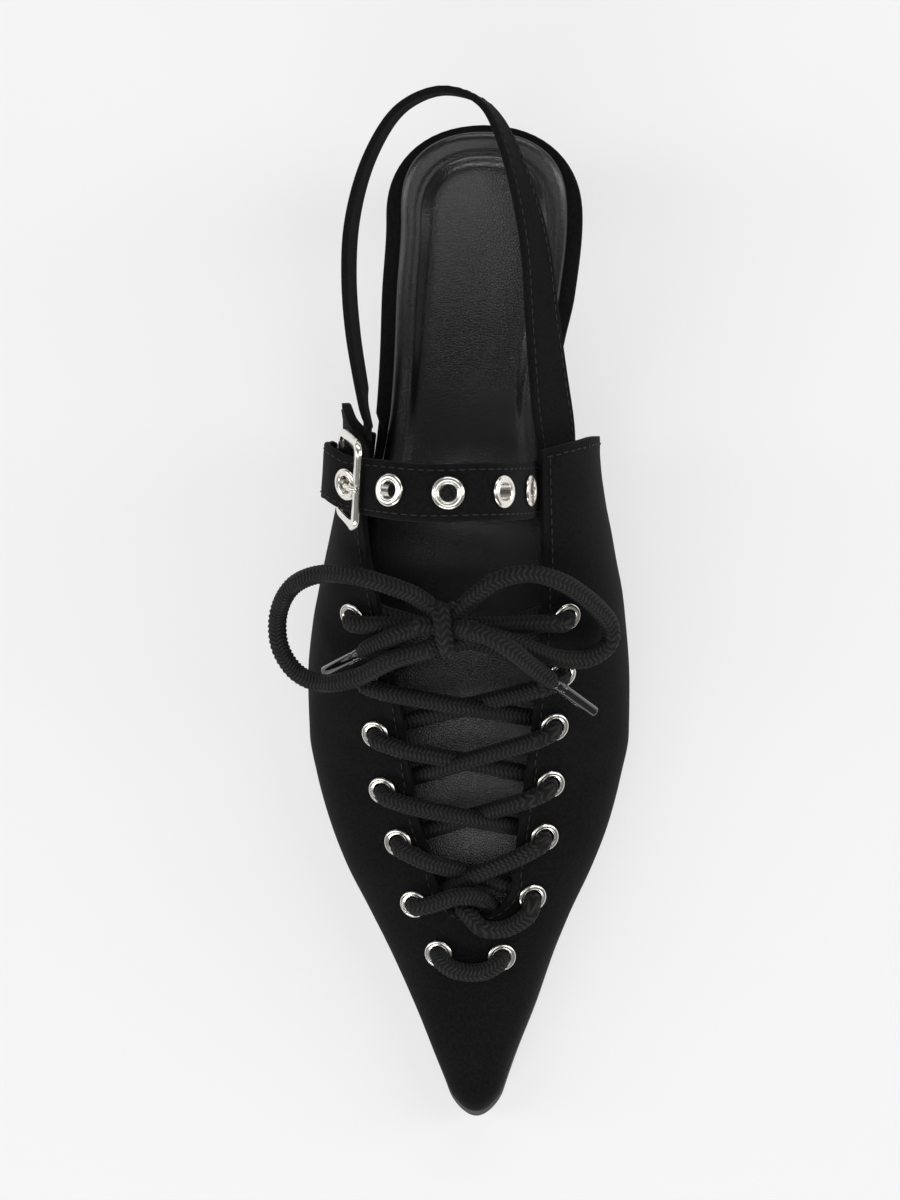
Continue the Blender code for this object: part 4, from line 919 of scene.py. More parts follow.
    def stitches(self, name: str, line: Sequence[tuple[Vector, Vector]], size: Stitch) -> Piece:
        """A row of stitches along points with their normals.

        Args:
            name: the piece's name.
            line: points on a surface, each with the surface's normal.
            size: the stitch's sizes.

        Returns:
            The row as one piece.
        """
        points = [point for point, _ in line]
        run = runs(points)
        places, goal, k = [], size.pitch / 2, 0
        while goal < run[-1]:
            while run[k + 1] < goal:
                k += 1
            t = (goal - run[k]) / (run[k + 1] - run[k])
            point = points[k].lerp(points[k + 1], t) + line[k][1] * size.sink
            places.append(facing(point, line[k][1], points[k + 1] - points[k]))
            goal += size.pitch
        sizes = {"segments": 8, "ring_count": 5, "radius": size.thread / 2}
        pattern = self.primitive(bpy.ops.mesh.primitive_uv_sphere_add, "stitch", **sizes)
        self.stretch(pattern, (1, size.length / size.thread, size.flatness))
        self.smooth(pattern, 80)
        return self.copies(name, pattern, places)


@dataclass(frozen=True)
class Stitch:
    """A machine stitch: its length, its pitch, its thread, its flatness and how far it stands out."""

    flatness: float = 0.8
    length: float = 2.1 * MM
    pitch: float = 2.7 * MM
    thread: float = 0.42 * MM
    sink: float = 0.05 * MM


class Signal:
    """A socket's number, to which Python's arithmetic adds Math nodes."""

    def __init__(self, tree: Shader, socket: bpy.types.NodeSocket) -> None:
        """Wraps a socket of a tree."""
        self.tree = tree
        self.socket = socket

    def _math(self, operation: str, *values: Signal | float) -> Signal:
        """The wrapped result of a Math node with these inputs."""
        node = self.tree.node("ShaderNodeMath", {"operation": operation}, dict(enumerate(values)))
        return Signal(self.tree, node.outputs[0])

    def __add__(self, other: Signal | float) -> Signal:
        """The sum."""
        return self._math("ADD", self, other)

    __radd__ = __add__

    def __sub__(self, other: Signal | float) -> Signal:
        """The difference."""
        return self._math("SUBTRACT", self, other)

    def __rsub__(self, other: float) -> Signal:
        """The difference from a number."""
        return self._math("SUBTRACT", other, self)

    def __mul__(self, other: Signal | float) -> Signal:
        """The product."""
        return self._math("MULTIPLY", self, other)

    __rmul__ = __mul__

    def __pow__(self, power: float) -> Signal:
        """A power."""
        return self._math("POWER", self, power)

    def sine(self) -> Signal:
        """The sine."""
        return self._math("SINE", self)

    def size(self) -> Signal:
        """The absolute value."""
        return self._math("ABSOLUTE", self)

    def part(self) -> Signal:
        """The part after the point."""
        return self._math("FRACT", self)

    def above(self, limit: float) -> Signal:
        """1 above a limit and 0 below."""
        return self._math("GREATER_THAN", self, limit)


class Shader:
    """A material's tree and the one way in which its nodes are made."""

    def __init__(self, name: str) -> None:
        """Starts an empty material of a name."""
        self.material = bpy.data.materials.new(name)
        self.material.use_nodes = True
        self.tree = self.material.node_tree
        self.tree.nodes.clear()

    def node(self, kind: str, settings: dict[str, object], inputs: dict[str | int, object]) -> bpy.types.Node:
        """Adds a node.

        Args:
            kind: its type.
            settings: its own settings, set first.
            inputs: values or wrapped links of its sockets by name or number.

        Returns:
            The node.
        """
        made = self.tree.nodes.new(kind)
        for name, value in settings.items():
            setattr(made, name, value)
        for name, value in inputs.items():
            if isinstance(value, Signal):
                self.tree.links.new(value.socket, made.inputs[name])
            elif isinstance(value, bpy.types.NodeSocket):
                self.tree.links.new(value, made.inputs[name])
            else:
                made.inputs[name].default_value = value
        return made

    def uv(self) -> tuple[Signal, Signal]:
        """The distances across and along on the piece's own map."""
        place = self.node("ShaderNodeUVMap", {"uv_map": "UVMap"}, {})
        split = self.node("ShaderNodeSeparateXYZ", {}, {0: place.outputs[0]})
        return Signal(self, split.outputs[0]), Signal(self, split.outputs[1])

    def place(self) -> bpy.types.NodeSocket:
        """The place on the object."""
        return self.node("ShaderNodeTexCoord", {}, {}).outputs["Object"]

    def noise(
        self, scale: float, detail: float = 3.0, stretch: Triple = (1, 1, 1)
    ) -> Signal:
        """A soft noise from 0 to 1.

        Args:
            scale: its scale per metre.
            detail: its detail.
            stretch: how it is scaled along each axis.

        Returns:
            The noise.
        """
        place = self.node("ShaderNodeMapping", {}, {"Vector": self.place(), "Scale": stretch})
        inputs = {"Vector": place.outputs[0], "Scale": scale, "Detail": detail}
        made = self.node("ShaderNodeTexNoise", {}, inputs)
        return Signal(self, made.outputs["Fac"])

    def cells(self, scale: float) -> Signal:
        """The distance to the nearest grain cell's edge."""
        settings = {"feature": "DISTANCE_TO_EDGE"}
        made = self.node("ShaderNodeTexVoronoi", settings, {"Vector": self.place(), "Scale": scale})
        return Signal(self, made.outputs["Distance"])

    def mix(self, share: Signal, low: Sequence[float], high: Sequence[float]) -> bpy.types.NodeSocket:
        """A colour between two, by a share."""
        settings = {"data_type": "RGBA", "clamp_factor": True}
        made = self.node("ShaderNodeMix", settings, {0: share, 6: (*low, 1), 7: (*high, 1)})
        return made.outputs[2]

    def bump(self, height: Signal, distance: float, strength: float = 1.0) -> bpy.types.NodeSocket:
        """A bumped normal from a height."""
        inputs = {"Height": height, "Distance": distance, "Strength": strength}
        return self.node("ShaderNodeBump", {}, inputs).outputs[0]

    def surface(self, **inputs: object) -> bpy.types.Material:
        """Ends the tree in a Principled BSDF.

        Args:
            inputs: its sockets, with underscores for the spaces in their names.

        Returns:
            The material.
        """
        named = {name.replace("_", " "): value for name, value in inputs.items()}
        shader = self.node("ShaderNodeBsdfPrincipled", {}, named)
        self.node("ShaderNodeOutputMaterial", {}, {"Surface": shader.outputs[0]})
        return self.material


class Slot(Enum):
    """The record's material slots."""

    UPPER = "upper"
    INSOLE = "insole"
    SOLE = "sole"
    HEEL = "heel"
    TIP = "tip"
    LACE = "lace"
    METAL = "metal"
    AGLET = "aglet"


@dataclass(frozen=True)
class Cloth:
    """The matte black cloth of the upper and straps, with a fine weave that follows the piece."""

    dark: Triple = (0.0022, 0.0019, 0.0022)
    light: Triple = (0.0098, 0.0089, 0.0096)
    thread: float = 0.55 * MM
    scale: float = 1300.0

    def make(self) -> bpy.types.Material:
        """The finish as a material."""
        shader = Shader("matte_cloth")
        across, along = shader.uv()
        turn = 2 * pi / self.thread
        weave = (across * turn).sine() * (along * turn).sine()
        fuzz = shader.noise(self.scale, 4.0)
        broad = shader.noise(55.0, 2.0)
        share = (fuzz - 0.5) * 1.9 + 0.38 + (broad - 0.5) * 0.5 + weave * 0.08
        height = weave * 0.35 + fuzz
        return shader.surface(
            Base_Color=shader.mix(share, self.dark, self.light),
            Roughness=0.80 + 0.12 * fuzz,
            Specular_IOR_Level=0.10,
            Sheen_Weight=0.015,
            Sheen_Roughness=0.5,
            Normal=shader.bump(height, 0.12 * MM, 0.55),
        )


@dataclass(frozen=True)
class Leather:
    """Glossy grained black leather, for the sock and the linings."""

    name: str = "grained_leather"
    colour: Triple = (0.0030, 0.0030, 0.0034)
    light: Triple = (0.0065, 0.0065, 0.0072)
    grain: float = 1500.0
    gloss: float = 0.14

    def make(self) -> bpy.types.Material:
        """The finish as a material."""
        shader = Shader(self.name)
        cells = shader.cells(self.grain)
        soft = shader.noise(700.0, 3.0)
        broad = shader.noise(70.0, 3.0)
        height = (cells * 2.2) ** 0.5 + soft * 0.5
        return shader.surface(
            Base_Color=shader.mix(broad, self.colour, self.light),
            Roughness=self.gloss + 0.14 * broad + 0.06 * soft,
            Specular_IOR_Level=0.7,
            Normal=shader.bump(height, 0.10 * MM, 0.34),
        )


@dataclass(frozen=True)
class Braid:
    """The round braided lace, black, its rib crests painted paler as painted highlights and the grooves
    between its columns painted darker as painted shade.
    """

    dark: Triple = (0.0022, 0.0021, 0.0021)
    light: Triple = (0.026, 0.0252, 0.0248)
    columns: int = 8
    around: float = 4.8 * pi * MM
    slant: float = 0.8
    pitch: float = 1.3 * MM

    def make(self) -> bpy.types.Material:
        """The finish as a material."""
        shader = Shader("braided_lace")
        across, along = shader.uv()
        column = across * (self.columns / self.around)
        place = column.part() - 0.5
        way = (column * 0.5).part().above(0.5) * 2 - 1
        turn = 2 * pi
        wave = (along * (turn / self.pitch) + way * place * (self.slant * turn) + turn / 4).sine()
        # painted shade: the colour darkens towards the grooves between the columns
        seam = 1 - (place * 2).size() ** 3.0 * 0.8
        fuzz = shader.noise(1500.0, 3.0)
        # painted highlight: the colour is paler on each rib's crest, over a fine random fleck
        share = (wave * 0.5 + 0.5) ** 2.0 * seam * 0.9 + fuzz * 0.15
        return shader.surface(
            Base_Color=shader.mix(share, self.dark, self.light),
            Roughness=0.62 + 0.2 * fuzz,
            Specular_IOR_Level=0.18,
            Sheen_Weight=0.02,
            Normal=shader.bump(fuzz, 0.08 * MM, 0.5),
        )


@dataclass(frozen=True)
class Polish:
    """A smooth hard finish: metal, moulded sole, aglet or thread.

    Args:
        name: the material's name.
        colour: its colour.
        worn: the colour of its rubbed places.
        gloss: its roughness.
        metallic: 1 for metal.
        rub: how much of it is rubbed.
        coat: a clear coat's weight.
    """

    name: str
    colour: Triple
    worn: Triple
    gloss: float
    metallic: float = 0.0
    rub: float = 0.2
    coat: float = 0.0

    def make(self) -> bpy.types.Material:
        """The finish as a material."""
        shader = Shader(self.name)
        fine = shader.noise(700.0, 4.0, (1, 0.35, 1))
        broad = shader.noise(120.0, 3.0)
        return shader.surface(
            Base_Color=shader.mix(broad * self.rub + fine * self.rub * 0.5, self.colour, self.worn),
            Roughness=self.gloss + 0.07 * fine + 0.05 * broad,
            Metallic=self.metallic,
            Coat_Weight=self.coat,
            Normal=shader.bump(fine, 0.02 * MM, 0.25),
        )


class Finishes:
    """Every finish of the shoe, each made once: the usual one of each slot, lined cloth and thread."""

    def __init__(self) -> None:
        """Makes the materials."""
        cloth = Cloth().make()
        sock = Leather().make()
        lining = Leather(name="smooth_lining", grain=1800.0, gloss=0.24).make()
        lace = Braid().make()
        nickel = Polish("warm_nickel", (0.88, 0.85, 0.79), (0.70, 0.67, 0.62), 0.16, metallic=1.0)
        sole = Polish("glossy_sole", (0.005, 0.005, 0.005), (0.04, 0.04, 0.04), 0.16, coat=0.5)
        tip = Polish("heel_rubber", (0.012, 0.012, 0.012), (0.03, 0.03, 0.03), 0.55)
        aglet = Polish("glossy_aglet", (0.004, 0.004, 0.004), (0.012, 0.012, 0.013), 0.06, coat=1.0)
        thread = Polish("black_thread", (0.0040, 0.0038, 0.0040), (0.010, 0.010, 0.010), 0.65)
        self.usual = {
            Slot.UPPER: (cloth,),
            Slot.HEEL: (cloth,),
            Slot.INSOLE: (sock,),
            Slot.LACE: (lace,),
            Slot.METAL: (nickel.make(),),
            Slot.SOLE: (sole.make(),),
            Slot.TIP: (tip.make(),),
            Slot.AGLET: (aglet.make(),),
        }
        self.lined = (cloth, lining)
        self.sewn = (thread.make(),)


@dataclass(eq=False)
class Assembly:
    """What every sub-assembly needs: the last, the bench and the finishes."""

    last: Last
    bench: Bench
    finishes: Finishes

    def dress(
        self, obj: Piece, slot: Slot, *nodes: str, finish: Sequence[bpy.types.Material] = ()
    ) -> Piece:
        """Gives a piece its finish, the usual one of its slot unless another is given, parents it to the
        shoe's root and hides the CAD nodes that it stands for.

        Args:
            obj: the piece.
            slot: the record's slot.
            nodes: the CAD nodes that it stands for.
            finish: its materials in order, where they aren't the slot's usual one.

        Returns:
            The same piece.
        """
        obj.data.materials.clear()
        for material in finish or self.finishes.usual[slot]:
            obj.data.materials.append(material)
        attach(obj, "root")
        if nodes:
            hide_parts(*nodes)
        LOG.info("%s: %d faces", obj.name, len(obj.data.polygons))
        return obj


@dataclass(eq=False)
class Bottom(Assembly):
    """Outsole, heel, its top piece, the wrapped board and the sock."""

    edge_bevel: float = 0.8 * MM
    line_levels: Triple = (2.0 * MM, 1.85 * MM, 1.7 * MM)
    line_depth: float = 0.12 * MM
    seat_inset: float = 0.8 * MM
    board: float = 2.6 * MM
    board_round: float = 0.7 * MM
    board_step: float = 5 * MM
    board_end: float = 4 * MM
    rim: float = 3.8 * MM
    rim_at_back: float = 1.8 * MM
    sock: float = 2.0 * MM
    sock_roll: float = 0.9 * MM
    sock_end: float = 14 * MM
    sock_step: float = 22 * MM
    sock_wave: float = 0.20 * MM
    seat_dish: float = 1.5 * MM
    pad_groove: float = 0.30 * MM
    heel_breast: float = 41 * MM
    heel_inset: float = 0.6 * MM
    heel_curve: float = 9 * MM
    heel_waist: float = 3.2 * MM
    tip_length: float = 20 * MM
    tip_width: float = 18 * MM
    tip_height: float = 5 * MM
    tip_setback: float = 7 * MM
    tip_edge: float = 0.5 * MM

    def build(self) -> None:
        """Makes every piece below the foot."""
        self.make_outsole()
        self.make_board()
        self.make_sock()
        self.make_heel()

    def places(self, end: float, fine: int) -> list[float]:
        """Places along the sole, closer at its round ends."""
        last = self.last
        found = stations(0.0, last.seat_round, 16, round_start=True)
        found += stations(last.seat_round, last.length - last.toe_round, fine)[1:]
        if end >= last.length:
            found += stations(last.length - last.toe_round, last.length, 14, round_end=True)[1:]
        return [place for place in found if place <= end]

    def make_outsole(self) -> None:
        """The moulded sole, with its rounded lower edge and a fine line round its side."""
        last = self.last
        rows = []
        for along in self.places(last.length, 150):
            inset = self.seat_inset * (1 - ease(0.33 * last.length, 0.41 * last.length, along))
            outer, inner = last.sides(along, inset)
            low, top = last.under(along), last.under(along) + last.sole
            bevel = min(self.edge_bevel, (inner - outer) / 4)
            profile = [(0.0, top)]
            for depth, level in zip((0.0, self.line_depth, 0.0), self.line_levels):
                profile.append((depth, low + level))
            profile += [(0.0, low + bevel), (bevel * 0.3, low + bevel * 0.3), (bevel, low)]
            profile = [(min(x, (inner - outer) / 4), z) for x, z in profile]
            ring = [last.spot(outer + x, along, z) for x, z in profile]
            span = inner - outer - 2 * bevel
            ring += [last.spot(outer + bevel + span * k / 10, along, low) for k in range(1, 10)]
            ring += [last.spot(inner - x, along, z) for x, z in reversed(profile)]
            ring += [last.spot(inner - (inner - outer) * k / 6, along, top) for k in range(1, 7)]
            rows.append(ring)
        obj = self.bench.skin("outsole_moulded", rows, 32)
        self.dress(obj, Slot.SOLE, "outsole")

    def board_inset(self, along: float) -> float:
        """The board is full width at the seat and steps in to stand inside the upper."""
        start = self.last.rear(False, 0.0)
        inside = self.last.upper_inset(along) + self.last.wall + self.last.gap
        return inside * ease(start - self.board_step, start - 2 * self.last.gap, along)

    def make_board(self) -> None:
        """The board wrapped in cloth, whose edge shows as the rim round the seat."""
        last = self.last
        rows = []
        end = last.length - last.welt_at_toe - last.wall - self.board_end
        for along in self.places(end, 120):
            outer, inner = last.sides(along, self.board_inset(along))
            low = last.feather(along)
            top = low + self.board
            bevel = min(self.board_round * 1.2, (inner - outer) / 4)
            arc = []
            for k in range(7):
                angle = pi / 2 * k / 6
                arc.append((bevel * (1 - cos(angle)), top - bevel + bevel * sin(angle)))
            ring = [last.spot(inner, along, low)]
            ring += [last.spot(inner - x, along, z) for x, z in arc]
            flat = inner - outer - 2 * bevel
            ring += [last.spot(inner - bevel - flat * k / 12, along, top) for k in range(1, 12)]
            ring += [last.spot(outer + x, along, z) for x, z in reversed(arc)]
            ring += [last.spot(outer, along, low), last.spot(inner, along, low)]
            rows.append(ring)
        obj = self.bench.skin("wrapped_board", rows, 40)
        self.dress(obj, Slot.UPPER, "insole_board")

    def sock_inset(self, along: float) -> float:
        """How far the sock lies inside the sole's edge."""
        rim = self.rim_at_back + (self.rim - self.rim_at_back) * ease(0, self.last.seat_round, along)
        start = self.last.rear(False, 0.0)
        inside = self.last.upper_inset(along) + self.last.wall + 2 * self.last.gap
        return rim + (inside - rim) * ease(start, start + self.sock_step, along)

    def sock_sides(self, along: float) -> Triple:
        """The sock's middle, its half width before the seat is rounded, and the share the rounding leaves."""
        outer, inner = self.last.sides(max(along, self.last.seat_round))
        back = self.seat_share(along)
        rounded = max(0.0, 1 - back**2.2) ** (1 / 2.2)
        return (outer + inner) / 2, (inner - outer) / 2 - self.sock_inset(along), rounded

    def seat_share(self, along: float) -> float:
        """How far back in the rounded seat a place lies: 0 at its front and 1 at the sock's back edge."""
        seat = self.last.seat_round
        return min(1.0, max(0.0, (seat - along) / (seat - self.rim_at_back)))

    def sock_height(self, along: float, share: float) -> float:
        """Height of the sock above the board: a rolled edge, a seat dished within a step, and soft waves."""
        last = self.last
        seat = 1 - ease(0.20 * last.length, 0.36 * last.length, along)
        _, _, rounded = self.sock_sides(along)
        edge = (self.seat_share(along) ** 2.2 + abs(share * rounded) ** 2.2) ** (1 / 2.2)
        roll = sqrt(max(0.0, 1 - max(0.0, (edge - 0.88) / 0.12) ** 2))
        wide = 0.70 - 0.06 * self.seat_share(along)
        dish = self.seat_dish * seat * (1 - ease(wide - 0.07, wide + 0.07, edge))
        groove = self.pad_groove * seat * exp(-(((edge - wide - 0.09) / 0.022) ** 2))
        height = self.sock * (0.35 + 0.65 * roll) + self.sock_roll * seat * ease(0.5, 0.8, edge) * roll
        wave = self.sock_wave * sin(along * 95 + share * 2.1) * cos(share * 3.4 + 0.6) * (1 - abs(share))
        return height - dish - groove + wave

    def make_sock(self) -> None:
        """The padded leather sock."""
        last = self.last
        rows = []
        end = last.length - last.welt_at_toe - last.wall - self.sock_end
        start = self.rim_at_back
        seat = stations(start, last.seat_round, 34, round_start=True)
        places = seat + [place for place in self.places(end, 170) if place > last.seat_round]
        for along in places:
            middle, full, rounded = self.sock_sides(along)
            half = max(full * rounded, 0.02 * MM)
            low = last.feather(along) + self.board + last.gap
            shares = [1 - 2 * k / 72 for k in range(73)]
            ring = [last.spot(middle + half, along, low)]
            for s in shares:
                ring.append(last.spot(middle + s * half, along, low + self.sock_height(along, s)))
            ring += [last.spot(middle - half, along, low), last.spot(middle + half, along, low)]
            rows.append(ring)
        obj = self.bench.skin("leather_sock", rows, 50)
        self.dress(obj, Slot.INSOLE, "insole")

    def heel_ring(self, level: float, sides: int = 56) -> Ring:
        """A ring round the heel, from the seat at level 0 to its top piece at level 1."""
        last = self.last
        waist = sin(pi * level) ** 0.8
        inset = self.seat_inset + self.heel_inset
        back = inset + (self.tip_setback - self.seat_inset) * ease(0, 1, level)
        front = self.heel_breast + (self.tip_setback + self.tip_length - self.heel_breast) * level
        front -= self.heel_curve * waist
        outer, inner = last.sides(last.seat_round, inset)
        middle, top_half = (outer + inner) / 2, (inner - outer) / 2
        half = top_half + (self.tip_width / 2 - top_half) * level**0.7 - self.heel_waist * waist
        bottom = self.tip_height + last.gap
        ring = []
        for i in range(sides + 1):
            angle = 2 * pi * (i % sides) / sides
            c, s = cos(angle), sin(angle)
            square_across, square_along = (0.9, 1.0) if s < 0 else (0.72, 0.86)
            across = middle + half * copysign(abs(c) ** square_across, c)
            along = (back + front) / 2 + (front - back) / 2 * copysign(abs(s) ** square_along, s)
            top = last.under(along) - last.gap
            ring.append(last.spot(across, along, top + (bottom - top) * level))
        return ring

    def make_heel(self) -> None:
        """The covered heel and its rubber top piece."""
        rows = [self.heel_ring(ease(0, 1, k / 40) * 0.5 + 0.5 * k / 40) for k in range(41)]
        heel = self.bench.skin("covered_heel", rows, 50)
        self.dress(heel, Slot.HEEL, "heel")
        flat = [Vector((p.x, p.y, 0)) for p in self.heel_ring(1)]
        centre = sum(flat[:-1], Vector()) / (len(flat) - 1)
        rows = []
        for inset, height in ((1.0, 0.0), (0.5, 0.15), (0.0, 1.0)):
            share = 1 - inset * self.tip_edge / (self.tip_width / 2)
            rise = Vector((0, 0, height * self.tip_edge))
            rows.append([centre + (p - centre) * share + rise for p in flat])
        rows.append([p + Vector((0, 0, self.tip_height)) for p in flat])
        tip = self.bench.skin("rubber_top_piece", rows, 40)
        self.dress(tip, Slot.TIP, "heel_tip")


@dataclass(eq=False)
class Upper(Assembly):
    """The vamp and quarters in one shell, with eyelets and stitching."""

    up_steps: int = 56
    band_width: float = 3.0 * MM
    band_lift: float = 0.22 * MM
    stitch_in: float = 1.9 * MM
    bore: float = 2.3 * MM
    flange: float = 3.95 * MM
    hole_gap: float = 0.45 * MM
    hole_cut: float = 9 * MM
    groove: float = 0.14 * MM
    groove_half: float = 0.5 * MM
    dent: float = 0.28 * MM
    dent_reach: float = 5.5 * MM
    creases: tuple[Crease, ...] = tuple(Crease(*(size * MM for size in row)) for row in CREASES)

    def build(self) -> None:
        """Makes the shell, its eyelets and its stitching."""
        shell = self.make_shell()
        self.cut_holes(shell)
        self.dress(shell, Slot.UPPER, "upper", finish=self.finishes.lined)
        for pair in range(len(EYELET_PAIRS)):
            for inner, side in SIDES:
                eyelet = self.make_eyelet(f"{side}_eyelet_{pair + 1}", self.last.wall, self.flange)
                eyelet.data.transform(self.last.eyelet(pair, inner))
                self.dress(eyelet, Slot.METAL, f"lace_eyelet_{side}_{pair + 1}")
        self.make_stitching()

    def rows(self) -> list[tuple[float | None, float]]:
        """Rows of the shell: a blend from the rear edge, or a fixed place along."""
        last = self.last
        tip = last.length - last.welt_at_toe
        blend_to = 0.437 * last.length
        found: list[tuple[float | None, float]] = [(i / 30, blend_to) for i in range(30)]
        fixed = stations(blend_to, last.throat_end - last.throat_round, 80)
        fixed += stations(last.throat_end - last.throat_round, last.throat_end, 22, round_end=True)[1:]
        fixed += stations(last.throat_end, tip - last.toe_round, 46)[1:]
        fixed += stations(tip - last.toe_round, tip, 16, round_end=True)[1:]
        return found + [(None, place) for place in fixed]

    def relief(self, section: Section, turn: float, along: float, from_top: float, from_rear: float) -> float:
        """How far the cloth stands out: the folded edge's band, the pull of the lace and the creases."""
        across, _ = section.at(turn)
        edge = min(from_top if section.open else 1.0, from_rear)
        found = self.band_lift * (1 - ease(self.band_width, self.band_width + 0.8 * MM, edge))
        found -= self.groove * exp(-(((edge - self.stitch_in) / self.groove_half) ** 2))
        for crease in self.creases:
            found += crease.at(across, along)
        for pair in range(len(EYELET_PAIRS)):
            for inner in (False, True):
                x, s = self.last.eyelet_plan(pair, inner)
                away = hypot(across - x, along - s)
                found -= self.dent * exp(-((away / self.dent_reach) ** 2))
        return found

    def side_rows(self, inner: bool) -> list[Ring]:
        """Rows of points on one side, from the feather line to the topline or crown."""
        found = []
        for blend, place in self.rows():
            ring = []
            for i in range(self.up_steps + 1):
                along, from_rear = place, 1.0
                if blend is not None:
                    rear = self.last.rear(inner, i / self.up_steps)
                    along = rear + (place - rear) * blend
                    from_rear = along - rear
                section = self.last.section(round(along, 7), inner)
                turns, length = self.shares(round(along, 7), inner)
                turn = turns[i]
                across, height = section.at(turn)
                off = self.relief(section, turn, along, (1 - i / self.up_steps) * length, from_rear)
                fade = ease(0.0, 4 * MM, i / self.up_steps * length)
                ring.append(self.last.spot(across, along, height) + section.outward(turn) * off * fade)
            found.append(ring if inner else ring[::-1])
        return found

    @lru_cache(maxsize=20000)
    def shares(self, along: float, inner: bool) -> tuple[list[float], float]:
        """A section's even turns and its length."""
        return self.last.section(along, inner).shares(self.up_steps)

    def make_shell(self) -> Piece:
        """The outer face of both sides, joined in front of the throat, and its wall inwards."""
        halves = [self.bench.lay(f"half_{inner}", self.side_rows(inner)) for inner in (False, True)]
        shell = self.bench.join("upper_shell", halves)
        self.bench.seal(shell, fill=False)
        group = shell.vertex_groups.new(name="wall")
        tip = self.last.length - self.last.welt_at_toe
        for vertex in shell.data.vertices:
            along = (self.last.length - self.last.overhang) / 2 - vertex.co.y
            group.add([vertex.index], 1 - 0.94 * ease(tip - 22 * MM, tip - 2 * MM, along), "REPLACE")
        self.bench.modify(
            shell,
            "SOLIDIFY",
            thickness=self.last.wall,
            offset=-1.0,
            use_even_offset=False,
            vertex_group="wall",
            thickness_vertex_group=0.03,
            material_offset=1,
            material_offset_rim=0,
        )
        self.bench.modify(
            shell, "BEVEL", width=0.45 * MM, segments=3, limit_method="ANGLE", angle_limit=radians(55)
        )
        return shell

    def cut_holes(self, shell: Piece) -> None:
        """Cuts a hole through the wall for each eyelet, and shades the shell."""
        pairs = range(len(EYELET_PAIRS))
        places = [self.last.eyelet(pair, inner) for pair in pairs for inner in (False, True)]
        self.bench.bore(shell, places, self.bore + self.hole_gap, self.hole_cut)
        self.bench.smooth(shell, 38)

    def make_eyelet(self, name: str, wall: float, flange: float) -> Piece:
        """A rolled crown from tori, with a barrel through the wall and a rolled flange behind.

        Args:
            name: the piece's name.
            wall: the wall that it goes through.
            flange: the crown's outer radius.

        Returns:
            The eyelet at the origin, its crown up.
        """
        pieces = []
        wide = (flange - self.bore) / 2
        lip = 0.35 * MM
        parts = (
            ("crown", (self.bore + flange) / 2, wide, 0.30 * MM, 0.62 * MM),
            ("lip", self.bore + lip, lip, 0.55 * MM, lip),
            ("back", self.bore + 0.55 * MM, 0.55 * MM, -wall - 0.55 * MM, 0.3 * MM),
        )
        for part, major, minor, height, tall in parts:
            sizes = {"major_radius": major, "minor_radius": minor, "major_segments": 44, "minor_segments": 12}
            torus = self.bench.primitive(bpy.ops.mesh.primitive_torus_add, part, **sizes)
            self.bench.stretch(torus, (1, 1, tall / minor), height)
            pieces.append(torus)
        depth = wall + 0.9 * MM
        sizes = {"vertices": 44, "radius": self.bore + 0.32 * MM, "depth": depth, "end_fill_type": "NOTHING"}
        barrel = self.bench.primitive(bpy.ops.mesh.primitive_cylinder_add, "barrel", **sizes)
        barrel.data.transform(Matrix.Translation((0, 0, 0.3 * MM - depth / 2)))
        self.bench.modify(barrel, "SOLIDIFY", thickness=0.3 * MM, offset=-1.0)
        pieces.append(barrel)
        eyelet = self.bench.join(name, pieces)
        self.bench.smooth(eyelet, 50)
        return eyelet

    def make_stitching(self) -> None:
        """Rows of stitches along the topline, the throat and the rear edges."""
        size = Stitch()
        last = self.last
        for inner, side in SIDES:
            top = []
            rear_top = last.rear(inner, 0.95) + self.stitch_in
            places = stations(rear_top, last.throat_end - last.throat_round, 110)
            places += stations(last.throat_end - last.throat_round, last.throat_end, 12, round_end=True)[1:]
            for along in places:
                point, normal, _ = last.seat_on(along, inner, self.stitch_in, self.band_lift)
                top.append((point, normal))
            rear = []
            for k in range(60):
                share = 0.06 + 0.9 * k / 59
                along = last.rear(inner, share) + self.stitch_in
                turns, _ = self.shares(round(along, 7), inner)
                turn = turns[round(share * self.up_steps)]
                point, normal, _ = last.frame_at(along, inner, turn)
                rear.append((point + normal * self.band_lift, normal))
            for name, line in ((f"topline_stitches_{side}", top), (f"rear_stitches_{side}", rear)):
                self.dress(self.bench.stitches(name, line, size), Slot.UPPER, finish=self.finishes.sewn)


